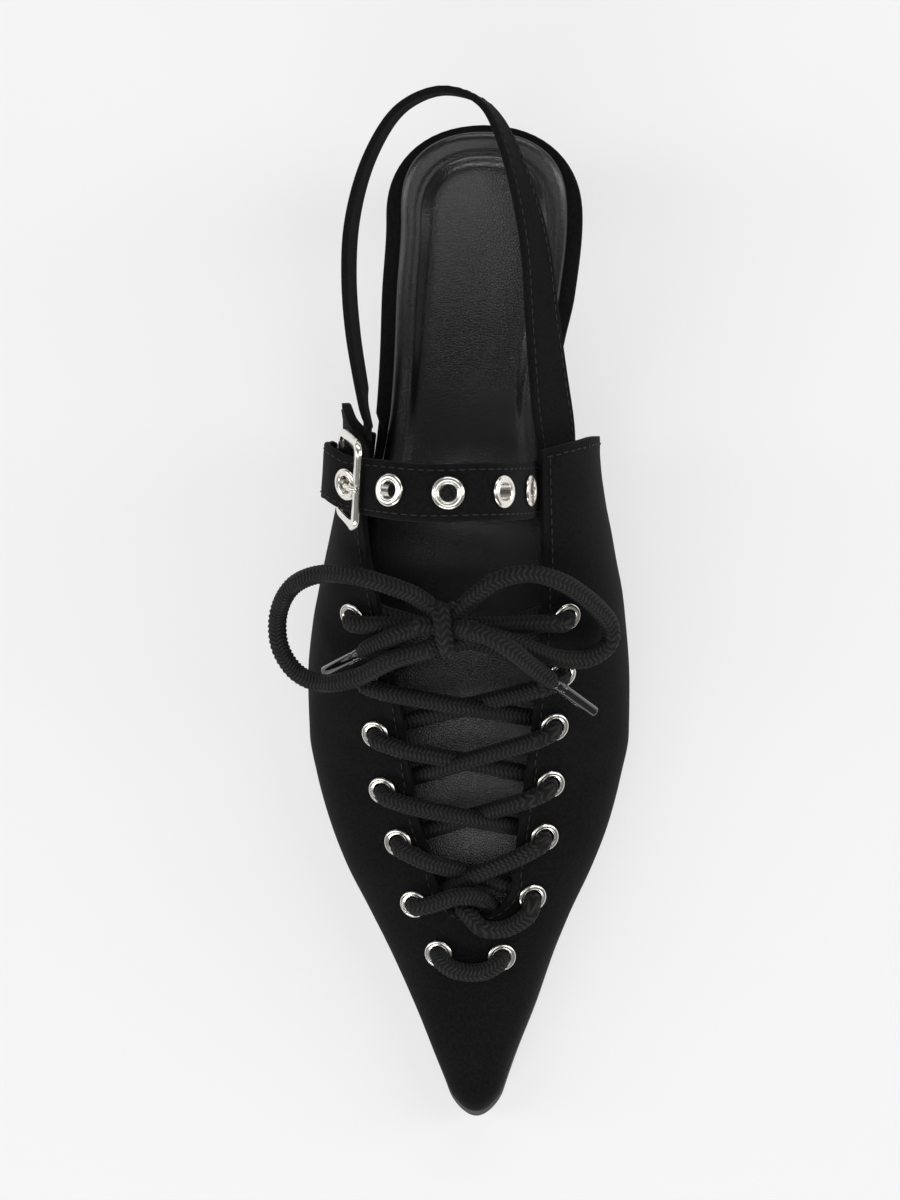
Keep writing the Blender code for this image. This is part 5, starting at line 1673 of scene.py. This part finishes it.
@dataclass(eq=False)
class Straps(Assembly):
    """The back strap, the instep strap with its eyelets, and the buckle."""

    upper: Upper = field(kw_only=True)
    sling_width: float = 9 * MM
    sling_thickness: float = 1.8 * MM
    sling_rise: float = 52 * MM
    sling_tuck: float = 5 * MM
    sling_drop: float = 9 * MM
    sling_off: float = 1.9 * MM
    sling_lean: float = radians(6)
    sling_ends: Pair = (1.4, 1.55)
    board: float = 2.6 * MM
    hole_at: float = 0.355
    buckle_at: float = 0.343
    tail_at: float = 0.340
    width: float = 15 * MM
    thickness: float = 1.8 * MM
    point: float = 9 * MM
    arch: float = 78 * MM
    tail: float = 36 * MM
    tuck: float = 9 * MM
    settle: float = 8 * MM
    pitch: float = 15.6 * MM
    flange: float = 4.3 * MM
    hole_cut: float = 7 * MM
    eyelets: int = 5
    steps: int = 12
    bar: float = 1.0 * MM
    frame_half: float = 10.6 * MM
    corner: float = 2.6 * MM
    buckle_drop: float = 7 * MM
    above_topline: float = 4.4 * MM
    to_front_bar: float = 5.8 * MM
    keeper: float = 0.8 * MM
    keeper_width: float = 12 * MM
    keeper_length: float = 16 * MM
    prong: float = 0.75 * MM
    stitch_in: float = 1.7 * MM
    stitch_sink: float = 0.06 * MM
    groove: float = 0.16 * MM
    groove_half: float = 0.45 * MM
    wave: float = 0.05 * MM
    wave_turn: float = 210.0

    def build(self) -> None:
        """Makes the straps and the buckle."""
        self.make_sling()
        self.make_instep()
        self.make_buckle()

    def edge_relief(self, edge: float, travelled: float) -> float:
        """A shallow groove where the stitches pull, and a soft wave along the strap."""
        groove = self.groove * exp(-(((edge - self.stitch_in) / self.groove_half) ** 2))
        return self.wave * sin(travelled * self.wave_turn) * ease(1 * MM, 3 * MM, edge) - groove

    def stitch_edges(self, name: str, line: Sequence[Station], thickness: float, trim: int) -> None:
        """A row of stitches along each edge of a strap's outer face.

        Args:
            name: the first part of the pieces' names.
            line: the strap's stations.
            thickness: its thickness.
            trim: how many stations are left out at each end.
        """
        middles = [station[0] for station in line]
        for sign, edge in ((-1, "lower"), (1, "upper")):
            row = []
            for i in range(trim, len(line) - trim):
                middle, across, width = line[i]
                _, side, face = strap_axes(middles, i, across)
                off = thickness / 2 - self.stitch_sink
                row.append((middle + side * sign * (width / 2 - self.stitch_in) + face * off, face))
            made = self.bench.stitches(f"{name}_{edge}_stitches", row, Stitch())
            self.dress(made, Slot.UPPER, finish=self.finishes.sewn)

    def sling_line(self) -> list[Station]:
        """The back strap's stations, from inside the inner quarter round to inside the outer one."""
        last = self.last
        seat = last.feather(0) + self.board
        found = [self.tucked(True, self.sling_tuck), self.tucked(True, 0)]
        for across, along, height, width, lean in SLING_PATH:
            middle = last.spot(across * last.ball, along * last.length, seat + height * self.sling_rise)
            turn = radians(lean)
            found.append((middle, Vector((-sin(turn), 0, cos(turn))), width * self.sling_width))
        found += [self.tucked(False, 0), self.tucked(False, self.sling_tuck)]
        steps = 14
        middles = smooth_line([f[0] for f in found], steps)
        leans = smooth_line([f[1] for f in found], steps)
        widths = smooth_line([Vector((f[2], 0, 0)) for f in found], steps)
        return [(m, a, w.x) for m, a, w in zip(middles, leans, widths)]

    def tucked(self, inner: bool, step: float) -> Station:
        """A station of the back strap's end inside a quarter."""
        rear = self.last.rear(inner, 0.8)
        deep = self.last.wall + self.last.gap + self.sling_off + self.sling_thickness / 2
        point, _, up = self.last.seat_on(rear + step, inner, self.sling_drop, -deep)
        lean = up if inner else Vector((sin(self.sling_lean), 0, cos(self.sling_lean)))
        return point, lean, self.sling_ends[inner] * self.sling_width

    def make_sling(self) -> None:
        """The back strap: cloth outside, smooth lining inside."""
        line = self.sling_line()
        strap = self.bench.ribbon("back_strap", line, self.sling_thickness, self.edge_relief, lining=True)
        self.dress(strap, Slot.UPPER, "sling", finish=self.finishes.lined)
        self.stitch_edges("back_strap", line, self.sling_thickness, 6)

    def stack(self) -> dict[str, float]:
        """Stand-offs from the outer quarter of the base bar and of the strap's middle."""
        roll = self.bar + 2 * self.last.gap + self.keeper
        bar = self.last.gap + roll
        half = self.thickness / 2
        return {
            "bar": bar,
            "over": bar + roll + 2 * self.last.gap + half,
            "down": 4 * self.last.gap + self.keeper + half,
        }

    def offsets(self) -> list[Triple]:
        """Stations of the strap on the outer side: along, distance below the topline, stand-off."""
        over, down = self.stack()["over"], self.stack()["down"]
        settled = self.buckle_drop + self.settle
        rows = [
            (-self.above_topline, over),
            (0.3 * self.buckle_drop, over + self.thickness / 2),
            (self.buckle_drop, over),
            (self.buckle_drop + self.settle / 2, 0.6 * over + 0.4 * down),
            (settled, down),
            ((settled + self.tail) / 2, down),
            (self.tail, down),
        ]
        hole, buckle, tail = self.hole_at, self.buckle_at, self.tail_at
        found = []
        for drop, off in rows:
            top = ease(-self.above_topline, self.buckle_drop, drop)
            low = ease(self.buckle_drop, self.tail, drop)
            place = hole + (buckle - hole) * top + (tail - buckle) * low
            found.append((place * self.last.length, drop, off))
        return found

    def instep_line(self) -> tuple[Ring, Ring]:
        """The instep strap's middle points and directions across, from the inner quarter to its tail."""
        last = self.last
        inside = -(last.wall + 2.5 * last.gap + self.thickness / 2)
        along = STRAP_SPAN[0][1] * last.length
        reach = self.width / 2
        drops = (self.tuck, 0.5 * self.tuck, -0.5 * MM)
        found = [last.bed(along, True, drop, inside, reach) for drop in drops]
        for across, place, height in STRAP_SPAN:
            place *= last.length
            top = last.feather(place) + height * self.arch
            found.append((last.spot(across * last.ball, place, top), Vector((0, 1, 0))))
        for place, drop, off in self.offsets():
            found.append(last.bed(place, False, drop, off, reach))
        return smooth_line([p[0] for p in found], self.steps), smooth_line([p[1] for p in found], self.steps)

    def strap_frame(self, distance: float) -> Matrix:
        """A frame on the strap's outer face, at a distance from the prong's hole towards the instep."""
        line, across = self.instep_line()
        k = len(line) - 1 - self.steps * (len(self.offsets()) - 1)
        run = 0.0
        while run < distance:
            run += (line[k - 1] - line[k]).length
            k -= 1
        ahead = (line[k + 1] - line[k - 1]).normalized()
        side = (across[k] - ahead * across[k].dot(ahead)).normalized()
        return facing(line[k] + side.cross(ahead) * self.thickness / 2, side.cross(ahead), side)

    def make_instep(self) -> None:
        """The instep strap with its holes, eyelets and stitching."""
        line, across = self.instep_line()
        found = []
        for i, point in enumerate(line):
            left = line_length(line[i:]) if i < len(line) - 1 else 0.0
            share = min(1.0, left / self.point)
            round_share = sqrt(1 - (1 - share) ** 2)
            found.append((point, -across[i], self.width * (0.3 + 0.7 * round_share)))
        strap = self.bench.ribbon("buckled_strap", found, self.thickness, self.edge_relief, lining=True)
        frames = [self.strap_frame(number * self.pitch) for number in range(self.eyelets)]
        self.bench.bore(strap, frames, self.upper.bore + self.upper.hole_gap, self.hole_cut)
        self.bench.smooth(strap, 50)
        self.dress(strap, Slot.UPPER, "instep_strap", finish=self.finishes.lined)
        for number, place in enumerate(frames):
            eyelet = self.upper.make_eyelet(f"buckled_strap_eyelet_{number + 1}", self.thickness, self.flange)
            eyelet.data.transform(place)
            self.dress(eyelet, Slot.METAL, f"strap_eyelet_{number + 1}")
        self.stitch_edges("buckled_strap", found, self.thickness, 14)

    def bar_bed(self, drop: float, off: float) -> tuple[Vector, Vector]:
        """A seat below the buckle on the outer quarter."""
        return self.last.bed(self.buckle_at * self.last.length, False, drop, off, self.width / 2)

    def make_buckle(self) -> None:
        """The cast frame, its prong, and the keeper round its base bar."""
        base, run = self.bar_bed(self.buckle_drop, self.stack()["bar"])
        front = self.strap_frame(self.to_front_bar) @ Vector((0, 0, self.bar + 2 * self.last.gap))
        length = (front - base).length
        ahead = (front - base).normalized()
        side = (run - ahead * run.dot(ahead)).normalized()
        out = ahead.cross(side)
        points = []
        for corner in range(4):
            centre_ahead = self.corner if corner in (0, 3) else length - self.corner
            centre_side = (self.frame_half - self.corner) * (1 if corner in (2, 3) else -1)
            for i in range(9):
                angle = radians(180 + 90 * (corner + i / 8))
                along = centre_ahead + self.corner * cos(angle)
                across = centre_side + self.corner * sin(angle)
                points.append(base + ahead * along + side * across)
        line = even_line([*points, points[0]], 0.5 * MM)
        rows = []
        for j, point in enumerate(line):
            before = line[j - 1] if j else line[-2]
            after = line[j + 1] if j < len(line) - 1 else line[1]
            inward = (after - before).normalized().cross(out).normalized()
            forward = max(0.0, (point - base).dot(ahead) / length - 0.5) * 2
            wide = self.bar * (1.1 + 0.4 * ease(0.2, 0.9, forward))
            ring = []
            for i in range(17):
                angle = 2 * pi * (i % 16) / 16
                c, s = cos(angle), sin(angle)
                in_plane = copysign(abs(c) ** 0.5, c) * wide
                raised = copysign(abs(s) ** 0.5, s) * self.bar * 0.9
                ring.append(point + inward * in_plane + out * raised)
            rows.append(ring)
        cast = self.bench.skin("cast_frame", rows, 40, fill=False)
        self.dress(cast, Slot.METAL, "buckle_frame")
        self.make_prong(base + ahead * (self.bar + self.last.gap + self.prong), front)
        self.make_keeper()

    def make_prong(self, start: Vector, front: Vector) -> None:
        """The prong, from the base bar up through the first eyelet and over the front bar."""
        gap = self.last.gap
        hole = self.strap_frame(0)
        room = 2.2 * MM - self.prong - 2 * gap
        inside = self.thickness + 0.9 * MM
        line = [start]
        for x, z in ((-room - 2.2 * MM, -inside - 1.4 * MM), (-room, -inside), (room * 0.8, 1.0 * MM)):
            line.append(hole @ Vector((x, 0, z)))
        reach = self.bar + 1.6 * gap + self.prong
        local = hole.inverted() @ front
        for degrees in (150, 100):
            angle = radians(degrees)
            line.append(hole @ (local + reach * Vector((cos(angle), 0, sin(angle)))))
        line.append(hole @ (local + Vector((self.bar * 2.4, 0, reach * 0.8))))
        route = even_line(smooth_line(line, 12), 0.35 * MM)
        total = line_length(route)

        def radius(_: float, run: float) -> float:
            """Rounded at both ends."""
            return self.prong * 1.05 * blunt(run, total, 0.1 * MM, 0.8 * MM)

        prong = self.bench.tube("bent_prong", route, radius, sides=16)
        self.dress(prong, Slot.METAL, "buckle_prong")

    def make_keeper(self) -> None:
        """A short strap rolled round the base bar and sewn to the quarter."""
        bar = self.stack()["bar"]
        radius = self.bar + 2 * self.last.gap + self.keeper / 2
        flat = 1.5 * self.last.gap + self.keeper / 2
        line = []
        for i in range(19):
            angle = radians(75 + 9.75 * i)
            line.append((self.buckle_drop + radius * cos(angle), bar + radius * sin(angle)))
        for k in range(1, 13):
            line.append((self.buckle_drop + self.keeper_length * (0.06 + 0.94 * k / 12), flat))
        found = [(*self.bar_bed(drop, off), self.keeper_width) for drop, off in line]
        keeper = self.bench.ribbon("rolled_keeper", found, self.keeper)
        middle, run = self.bar_bed(self.buckle_drop - radius, bar)
        up = self.bar_bed(self.buckle_drop - radius, 2 * bar)[0] - middle
        cutter = self.bench.primitive(bpy.ops.mesh.primitive_cube_add, "prong_slot", size=1)
        slot = 2 * (self.prong + 3 * self.last.gap)
        cutter.data.transform(facing(middle, up, run) @ Matrix.Diagonal((2.4 * radius, slot, 4 * radius, 1)))
        self.bench.cut(keeper, [cutter], solver="MANIFOLD")
        self.bench.smooth(keeper, 50)
        self.dress(keeper, Slot.UPPER, "buckle_keeper")


@dataclass(eq=False)
class Lacing(Assembly):
    """The braided lace: its crossings in the throat, the leads to the knot, and the bow."""

    diameter: float = 4.8 * MM
    step: float = 0.29 * MM
    rib: float = 0.38 * MM
    columns: int = 8
    rib_pitch: float = 1.3 * MM
    swell: float = 0.20 * MM
    knot: Triple = (-4.1 * MM, 133.8 * MM, 64.5 * MM)
    aglet_length: float = 16 * MM
    aglet_diameter: float = 3.2 * MM
    cross_lift: float = 1.9 * MM
    droop: float = 4 * MM
    sag: float = 1.2 * MM
    entry: Pair = (6.0 * MM, 3.2 * MM)
    wrap_from: float = -110.0
    wrap_turn: float = 400.0
    wrap_steps: int = 59
    wrap_half: Triple = (1.9 * MM, 4.9 * MM, 3.6 * MM)
    wrap_back: float = 0.6 * MM
    slant: float = 0.8
    seam: float = 0.55
    crown_inner: float = 2.6 * MM
    crown_outer: float = 3.7 * MM
    crown_height: float = 1.0 * MM
    rest: float = 0.25 * MM
    clear: float = 0.6 * MM
    lower_lifts: Pair = (1.2 * MM, -3.4 * MM)
    lead_ends: tuple[Pair, Pair] = ((6.0, -5.6), (1.2, -2.6))
    taper: float = 0.10
    crimp_depth: float = 0.10 * MM
    crimp_at: float = 3 * MM
    crimp_half: float = 0.5 * MM
    squeezed: float = 0.88
    crimped: float = 0.7
    pinched: float = 0.30
    pinch_half: float = 3.4 * MM
    inner_on_top: tuple[int, ...] = (2, 4)

    def build(self) -> None:
        """Makes the bow first, and then the lace through the eyelets."""
        self.make_bow()
        self.make_crossings()
        self.make_leads()

    def braid(
        self, name: str, line: Ring, narrow: Callable[[float, float], float] | None = None
    ) -> Piece:
        """A braided cord along a line, its ribs in a herringbone round it.

        Args:
            name: the piece's name.
            line: the route's points.
            narrow: the share of its radius for a distance from its start and from its end.

        Returns:
            The cord.
        """
        route = even_line(line, self.step)
        total = line_length(route)
        radius = self.diameter / 2

        def at(share: float, run: float) -> float:
            """The radius round and along the cord."""
            column = share * self.columns
            t = column - floor(column)
            way = 1 if int(column) % 2 else -1
            wave = 0.5 + 0.5 * cos(2 * pi * (run / self.rib_pitch + way * (t - 0.5) * self.slant))
            seam = 1 - self.seam * abs(2 * t - 1) ** 3
            thick = radius + self.swell - self.rib * (1 - wave * seam)
            if narrow:
                thick *= narrow(run, total - run)
            return thick * blunt(run, total, 0.2 * MM, 0.7 * MM)

        return self.bench.tube(name, route, at, sides=self.columns * 3)

    def route(self, name: str) -> Ring:
        """A route of the bow as points."""
        return [self.last.spot(x * MM, s * MM, z * MM) for x, s, z in BOW[name]]

    def make_bow(self) -> None:
        """The knot, the two loops, and the ends with their aglets."""
        knot = self.make_knot()
        for side in ("outer", "inner"):
            end_line = smooth_line(self.route(f"lace_end_{side}"), 14)
            end = self.braid(f"lace_tail_{side}", end_line, self.crimp)
            self.dress(end, Slot.LACE, f"lace_end_{side}")
            aglet = self.make_aglet(f"crimped_aglet_{side}", end_line)
            self.dress(aglet, Slot.AGLET, f"aglet_{side}")
            loop_line = smooth_line(self.route(f"lace_loop_{side}"), 14)
            loop = self.braid(f"bow_loop_{side}", loop_line)
            self.dress(loop, Slot.LACE, f"lace_loop_{side}")
            line_length(loop_line)
            even_line(loop_line, 1.2 * MM)

    def make_knot(self) -> Piece:
        """The lace wound once and a bit round the middle of the bow, with a short bundle inside it."""
        centre = self.last.spot(*self.knot)
        wrap = []
        wide, deep, tall = self.wrap_half
        for i in range(self.wrap_steps + 1):
            angle = radians(self.wrap_from + self.wrap_turn * i / self.wrap_steps)
            across = wide * (i / self.wrap_steps - 0.5) * 2
            wrap.append(centre + Vector((across, -self.wrap_back - deep * sin(angle), tall * cos(angle))))
        pieces = [self.braid("wrap", wrap)]
        outer, inner = self.route("lace_loop_outer"), self.route("lace_loop_inner")
        tails = self.route("lace_end_outer"), self.route("lace_end_inner")
        bundles = (
            (outer[:2], inner[:2], Vector((0, 1.7 * MM, 0.2 * MM))),
            (outer[:-3:-1], inner[:-3:-1], Vector((0, -1.7 * MM, -0.4 * MM))),
            (tails[0][:2], tails[1][:2], Vector((0, 0, 1.2 * MM))),
        )
        for number, (left, right, offset) in enumerate(bundles):
            ends = [end.lerp(ahead, 1.6 * MM / (ahead - end).length) for end, ahead in (left, right)]
            line = smooth_line([ends[0], left[0], centre + offset, right[0], ends[1]], 10)
            middle = line_length(line) / 2
            pieces.append(self.braid(f"bundle_{number}", line, partial(self.pinch, middle)))
        knot = self.bench.join("bow_knot", pieces)
        self.dress(knot, Slot.LACE, "lace_knot")
        return knot

    def crimp(self, _: float, left: float) -> float:
        """A lace end's share of its radius where its aglet holds it."""
        return self.crimped + (1 - self.crimped) * ease(0, 3 * MM, left)

    def pinch(self, middle: float, run: float, _: float) -> float:
        """A cord's share of its radius under the wrap, by its place from the knot's middle."""
        return 0.98 - self.pinched * exp(-(((run - middle) / self.pinch_half) ** 2))

    def make_aglet(self, name: str, line: Ring) -> Piece:
        """The moulded tip on a lace's end, a little tapered, with a crimp near its start."""
        ahead = (line[-1] - line[-2]).normalized()
        start = line[-1] - ahead * 0.4 * MM
        total = self.aglet_length + self.last.gap + 0.4 * MM
        route = [start + ahead * total * i / 60 for i in range(61)]

        def radius(_: float, run: float) -> float:
            """Tapered, rounded at its ends and pinched once."""
            body = self.aglet_diameter / 2 * (1 - self.taper * run / total)
            body -= self.crimp_depth * exp(-(((run - self.crimp_at) / self.crimp_half) ** 2))
            return body * blunt(run, total, 0.15 * MM, 0.6 * MM)

        return self.bench.tube(name, route, radius, sides=24)

    def in_throat(self, across: float, along: float) -> bool:
        """Whether a place in plan is in the open throat."""
        if along >= self.last.throat_end:
            return False
        return self.last.section(along, False).throat < across < self.last.section(along, True).throat

    def plan_line(
        self, start: Pair, end: Pair, bend: float
    ) -> list[Pair]:
        """Places from one eyelet to another, drawn towards the toe in the middle."""
        run = (end[0] - start[0], end[1] - start[1])
        shares = [i / 40 for i in range(41)]
        return [(start[0] + run[0] * t, start[1] + run[1] * t + 4 * bend * t * (1 - t)) for t in shares]

    def over(self, place: Pair, eyelet: Pair) -> Vector:
        """The cord's middle on the flap, raised where it lies on the eyelet's crown."""
        distance = hypot(place[0] - eyelet[0], place[1] - eyelet[1])
        crown = 1 - ease(self.crown_inner, self.crown_outer + self.diameter, distance)
        return self.last.on_upper(*place, self.diameter / 2 + self.rest + self.crown_height * crown)

    def out_of(self, pair: int, inner: bool, toward: Vector) -> Ring:
        """The lace up through an eyelet and over its crown towards a point."""
        place = self.last.eyelet(pair, inner)
        local = place.inverted() @ toward
        lean = Vector((local.x, local.y, 0)).normalized()
        return [place @ (lean * out * MM + Vector((0, 0, height * MM))) for out, height in THROUGH]

    def into(self, pair: int, inner: bool) -> Ring:
        """The lace's last steps from inside up into an eyelet."""
        place = self.last.eyelet(pair, inner)
        return [place @ Vector((0, 0, -depth)) for depth in self.entry]

    def below(self, places: Sequence[Pair], i: int) -> Vector:
        """The cord's middle under the lining at one of the places."""
        return self.last.on_upper(*places[i], -(self.last.wall + self.diameter / 2 + self.clear))

    def strand(self, pair: int, inner: bool, lift: float) -> Ring:
        """From an eyelet over the flap, across the throat and under the other flap to the next eyelet."""
        start, end = self.last.eyelet_plan(pair, inner), self.last.eyelet_plan(pair + 1, not inner)
        tail = self.into(pair + 1, not inner)
        if pair == len(EYELET_PAIRS) - 2:
            return self.front_strand(pair, inner, start, tail)
        places = self.plan_line(start, end, self.sag)
        inside = [i for i, place in enumerate(places) if self.in_throat(*place)]
        first, final = inside[0], inside[-1]
        edge, far = self.over(places[first], start), self.below(places, final)
        middle = edge.lerp(far, 0.5) + Vector((0, 0, lift))
        line = self.out_of(pair, inner, edge)
        line += [self.over(places[max(first // 2, 4)], start), edge, middle, far]
        line.append(self.below(places, (final + len(places) - 1) // 2))
        return smooth_line(line + tail, 10)

    def front_strand(self, pair: int, inner: bool, start: Pair, tail: Ring) -> Ring:
        """The last pair: the inner strand bulges over the throat's end, and the outer one lies over it.

        Args:
            pair: the eyelets' number.
            inner: which of the two.
            start: its eyelet in plan.
            tail: the end of its route.

        Returns:
            The route's points.
        """
        line = []
        for across, along, off in FRONT["inner" if inner else "outer"]:
            across, along = across * MM, along * MM
            if off is None:
                line.append(self.over((across, along), start))
            elif self.in_throat(across, along):
                level = self.last.seat_on(along, inner, 0, 0)[0].z
                line.append(self.last.spot(across, along, level + off * MM))
            else:
                line.append(self.last.on_upper(across, along, off * MM))
        return smooth_line(self.out_of(pair, inner, line[0]) + line + tail, 10)

    def lower_strand(self, inner: bool) -> Ring:
        """From inside one eyelet of the second pair to the other side's first one."""
        places = self.plan_line(self.last.eyelet_plan(1, inner), self.last.eyelet_plan(0, not inner), 0)
        inside = [i for i, place in enumerate(places) if self.in_throat(*place)]
        first, final = self.below(places, inside[0]), self.below(places, inside[-1])
        middle = first.lerp(final, 0.5) + Vector((0, 0, self.lower_lifts[inner]))
        line = self.into(1, inner)[::-1] + [first, middle, final] + self.into(0, not inner)
        return smooth_line(line, 10)

    def squeeze(self, run: float, _: float) -> float:
        """A strand's share of its radius where an eyelet holds it at its start."""
        return self.squeezed + (1 - self.squeezed) * ease(6.0 * MM, 9.5 * MM, run)

    def make_crossings(self) -> None:
        """Each pair of strands that cross in the throat, and the bar at the toe."""
        for pair in range(len(EYELET_PAIRS) - 1):
            strands = []
            for inner, side in SIDES:
                on_top = inner == (pair in self.inner_on_top)
                lift = self.cross_lift if on_top else -self.cross_lift
                line = self.lower_strand(inner) if pair == 0 else self.strand(pair, inner, lift)
                strands.append(self.braid(f"strand_{side}", line, self.squeeze if pair else None))
            crossing = self.bench.join(f"crossing_{pair + 1}", strands)
            self.dress(crossing, Slot.LACE, f"lace_cross_{pair + 1}")
        final = len(EYELET_PAIRS) - 1
        ends = [self.last.eyelet_plan(final, inner) for inner in (False, True)]
        places = self.plan_line(ends[0], ends[1], self.droop)
        middle = [self.over(places[i], ends[i > 20]) for i in (10, 15, 20, 25, 30)]
        line = self.out_of(final, False, middle[0]) + middle + self.out_of(final, True, middle[-1])[::-1]
        bar = self.braid("toe_bar", smooth_line(line, 10))
        self.dress(bar, Slot.LACE, "lace_bar")

    def make_leads(self) -> None:
        """The lace from the top eyelets over the flaps and down into the underside of the knot."""
        centre = self.last.spot(*self.knot)
        for inner, side in SIDES:
            start = self.last.eyelet_plan(0, inner)
            places = self.plan_line(start, self.knot[:2], 0)
            first = next(i for i, place in enumerate(places) if self.in_throat(*place))
            edge = self.over(places[first], start)
            line = self.out_of(0, inner, edge) + [self.over(places[max(first // 2, 3)], start), edge]
            sign = 1 if inner else -1
            line += [centre + Vector((sign * out * MM, 0, height * MM)) for out, height in self.lead_ends]
            lead = self.braid(f"knot_lead_{side}", smooth_line(line, 10), self.squeeze)
            self.dress(lead, Slot.LACE, f"lace_lead_{side}")


@dataclass
class Studio:
    """The floor, the soft lights and the camera at the photograph's viewpoint."""

    eye: Triple = (46.6 * MM, 8.4 * MM, 1.100)
    aim: Triple = (-5.0 * MM, 6.0 * MM, 30 * MM)
    lens: float = 118.0
    sky: float = 0.16
    glow: float = 0.585
    sensor: float = 36.0

    def build(self) -> None:
        """Sets the scene."""
        self.make_camera()
        self.make_floor()
        self.make_lights()

    def make_camera(self) -> None:
        """A long lens that looks straight down at the shoe."""
        data = bpy.data.cameras.new("camera")
        data.lens = self.lens
        data.sensor_fit = "VERTICAL"
        data.sensor_height = self.sensor
        data.clip_start = 0.01
        camera = bpy.data.objects.new("camera", data)
        camera.location = self.eye
        back = (Vector(self.eye) - Vector(self.aim)).normalized()
        right = Vector((0, 1, 0)).cross(back).normalized()
        camera.rotation_euler = Matrix((right, back.cross(right), back)).transposed().to_euler()
        bpy.context.scene.collection.objects.link(camera)
        bpy.context.scene.camera = camera

    def make_floor(self) -> None:
        """A wide pale floor."""
        bpy.ops.object.select_all(action="DESELECT")
        bpy.ops.mesh.primitive_plane_add(size=14, location=(0, 0, 0))
        floor = bpy.context.object
        floor.name = "floor"
        shader = Shader("pale_floor")
        floor.data.materials.append(
            shader.surface(
                Base_Color=(0.33, 0.33, 0.33, 1),
                Roughness=0.95,
                Specular_IOR_Level=0.1,
                Emission_Color=(1, 1, 1, 1),
                Emission_Strength=self.glow,
            )
        )

    def make_lights(self) -> None:
        """A pale sky all round, a broad light above and a long one from beyond the toe."""
        scene = bpy.context.scene
        scene.view_settings.view_transform = "Standard"
        scene.view_settings.look = "None"
        world = bpy.data.worlds.new("studio")
        world.use_nodes = True
        world.node_tree.nodes["Background"].inputs["Color"].default_value = (1, 1, 1, 1)
        world.node_tree.nodes["Background"].inputs["Strength"].default_value = self.sky
        scene.world = world
        for name, place, size, power in (
            ("softbox", (0.0, -0.16, 1.75), (0.80, 0.76), 3.0),
            ("bank_toe", (-0.20, -1.25, 0.70), (1.5, 0.36), 12.0),
            ("bank_inner", (1.15, 0.25, 0.80), (0.5, 1.5), 9.0),
            ("bank_outer", (-1.15, 0.10, 0.85), (0.45, 1.5), 7.0),
            ("bank_heel", (0.2, 1.20, 0.80), (1.4, 0.5), 6.0),
        ):
            data = bpy.data.lights.new(name, "AREA")
            data.shape = "RECTANGLE"
            data.size, data.size_y = size
            data.energy = power
            lamp = bpy.data.objects.new(name, data)
            lamp.location = place
            lamp.rotation_euler = (-Vector(place)).to_track_quat("-Z", "Y").to_euler()
            scene.collection.objects.link(lamp)


def main() -> None:
    """Builds the shoe piece by piece, and reports each."""
    logging.basicConfig(level=logging.INFO, format="%(name)s: %(message)s")
    last, bench, finishes = Last(), Bench(), Finishes()
    Studio().build()
    Lacing(last, bench, finishes).build()
    upper = Upper(last, bench, finishes)
    upper.build()
    Straps(last, bench, finishes, upper=upper).build()
    Bottom(last, bench, finishes).build()


if __name__ == "__main__":
    main()
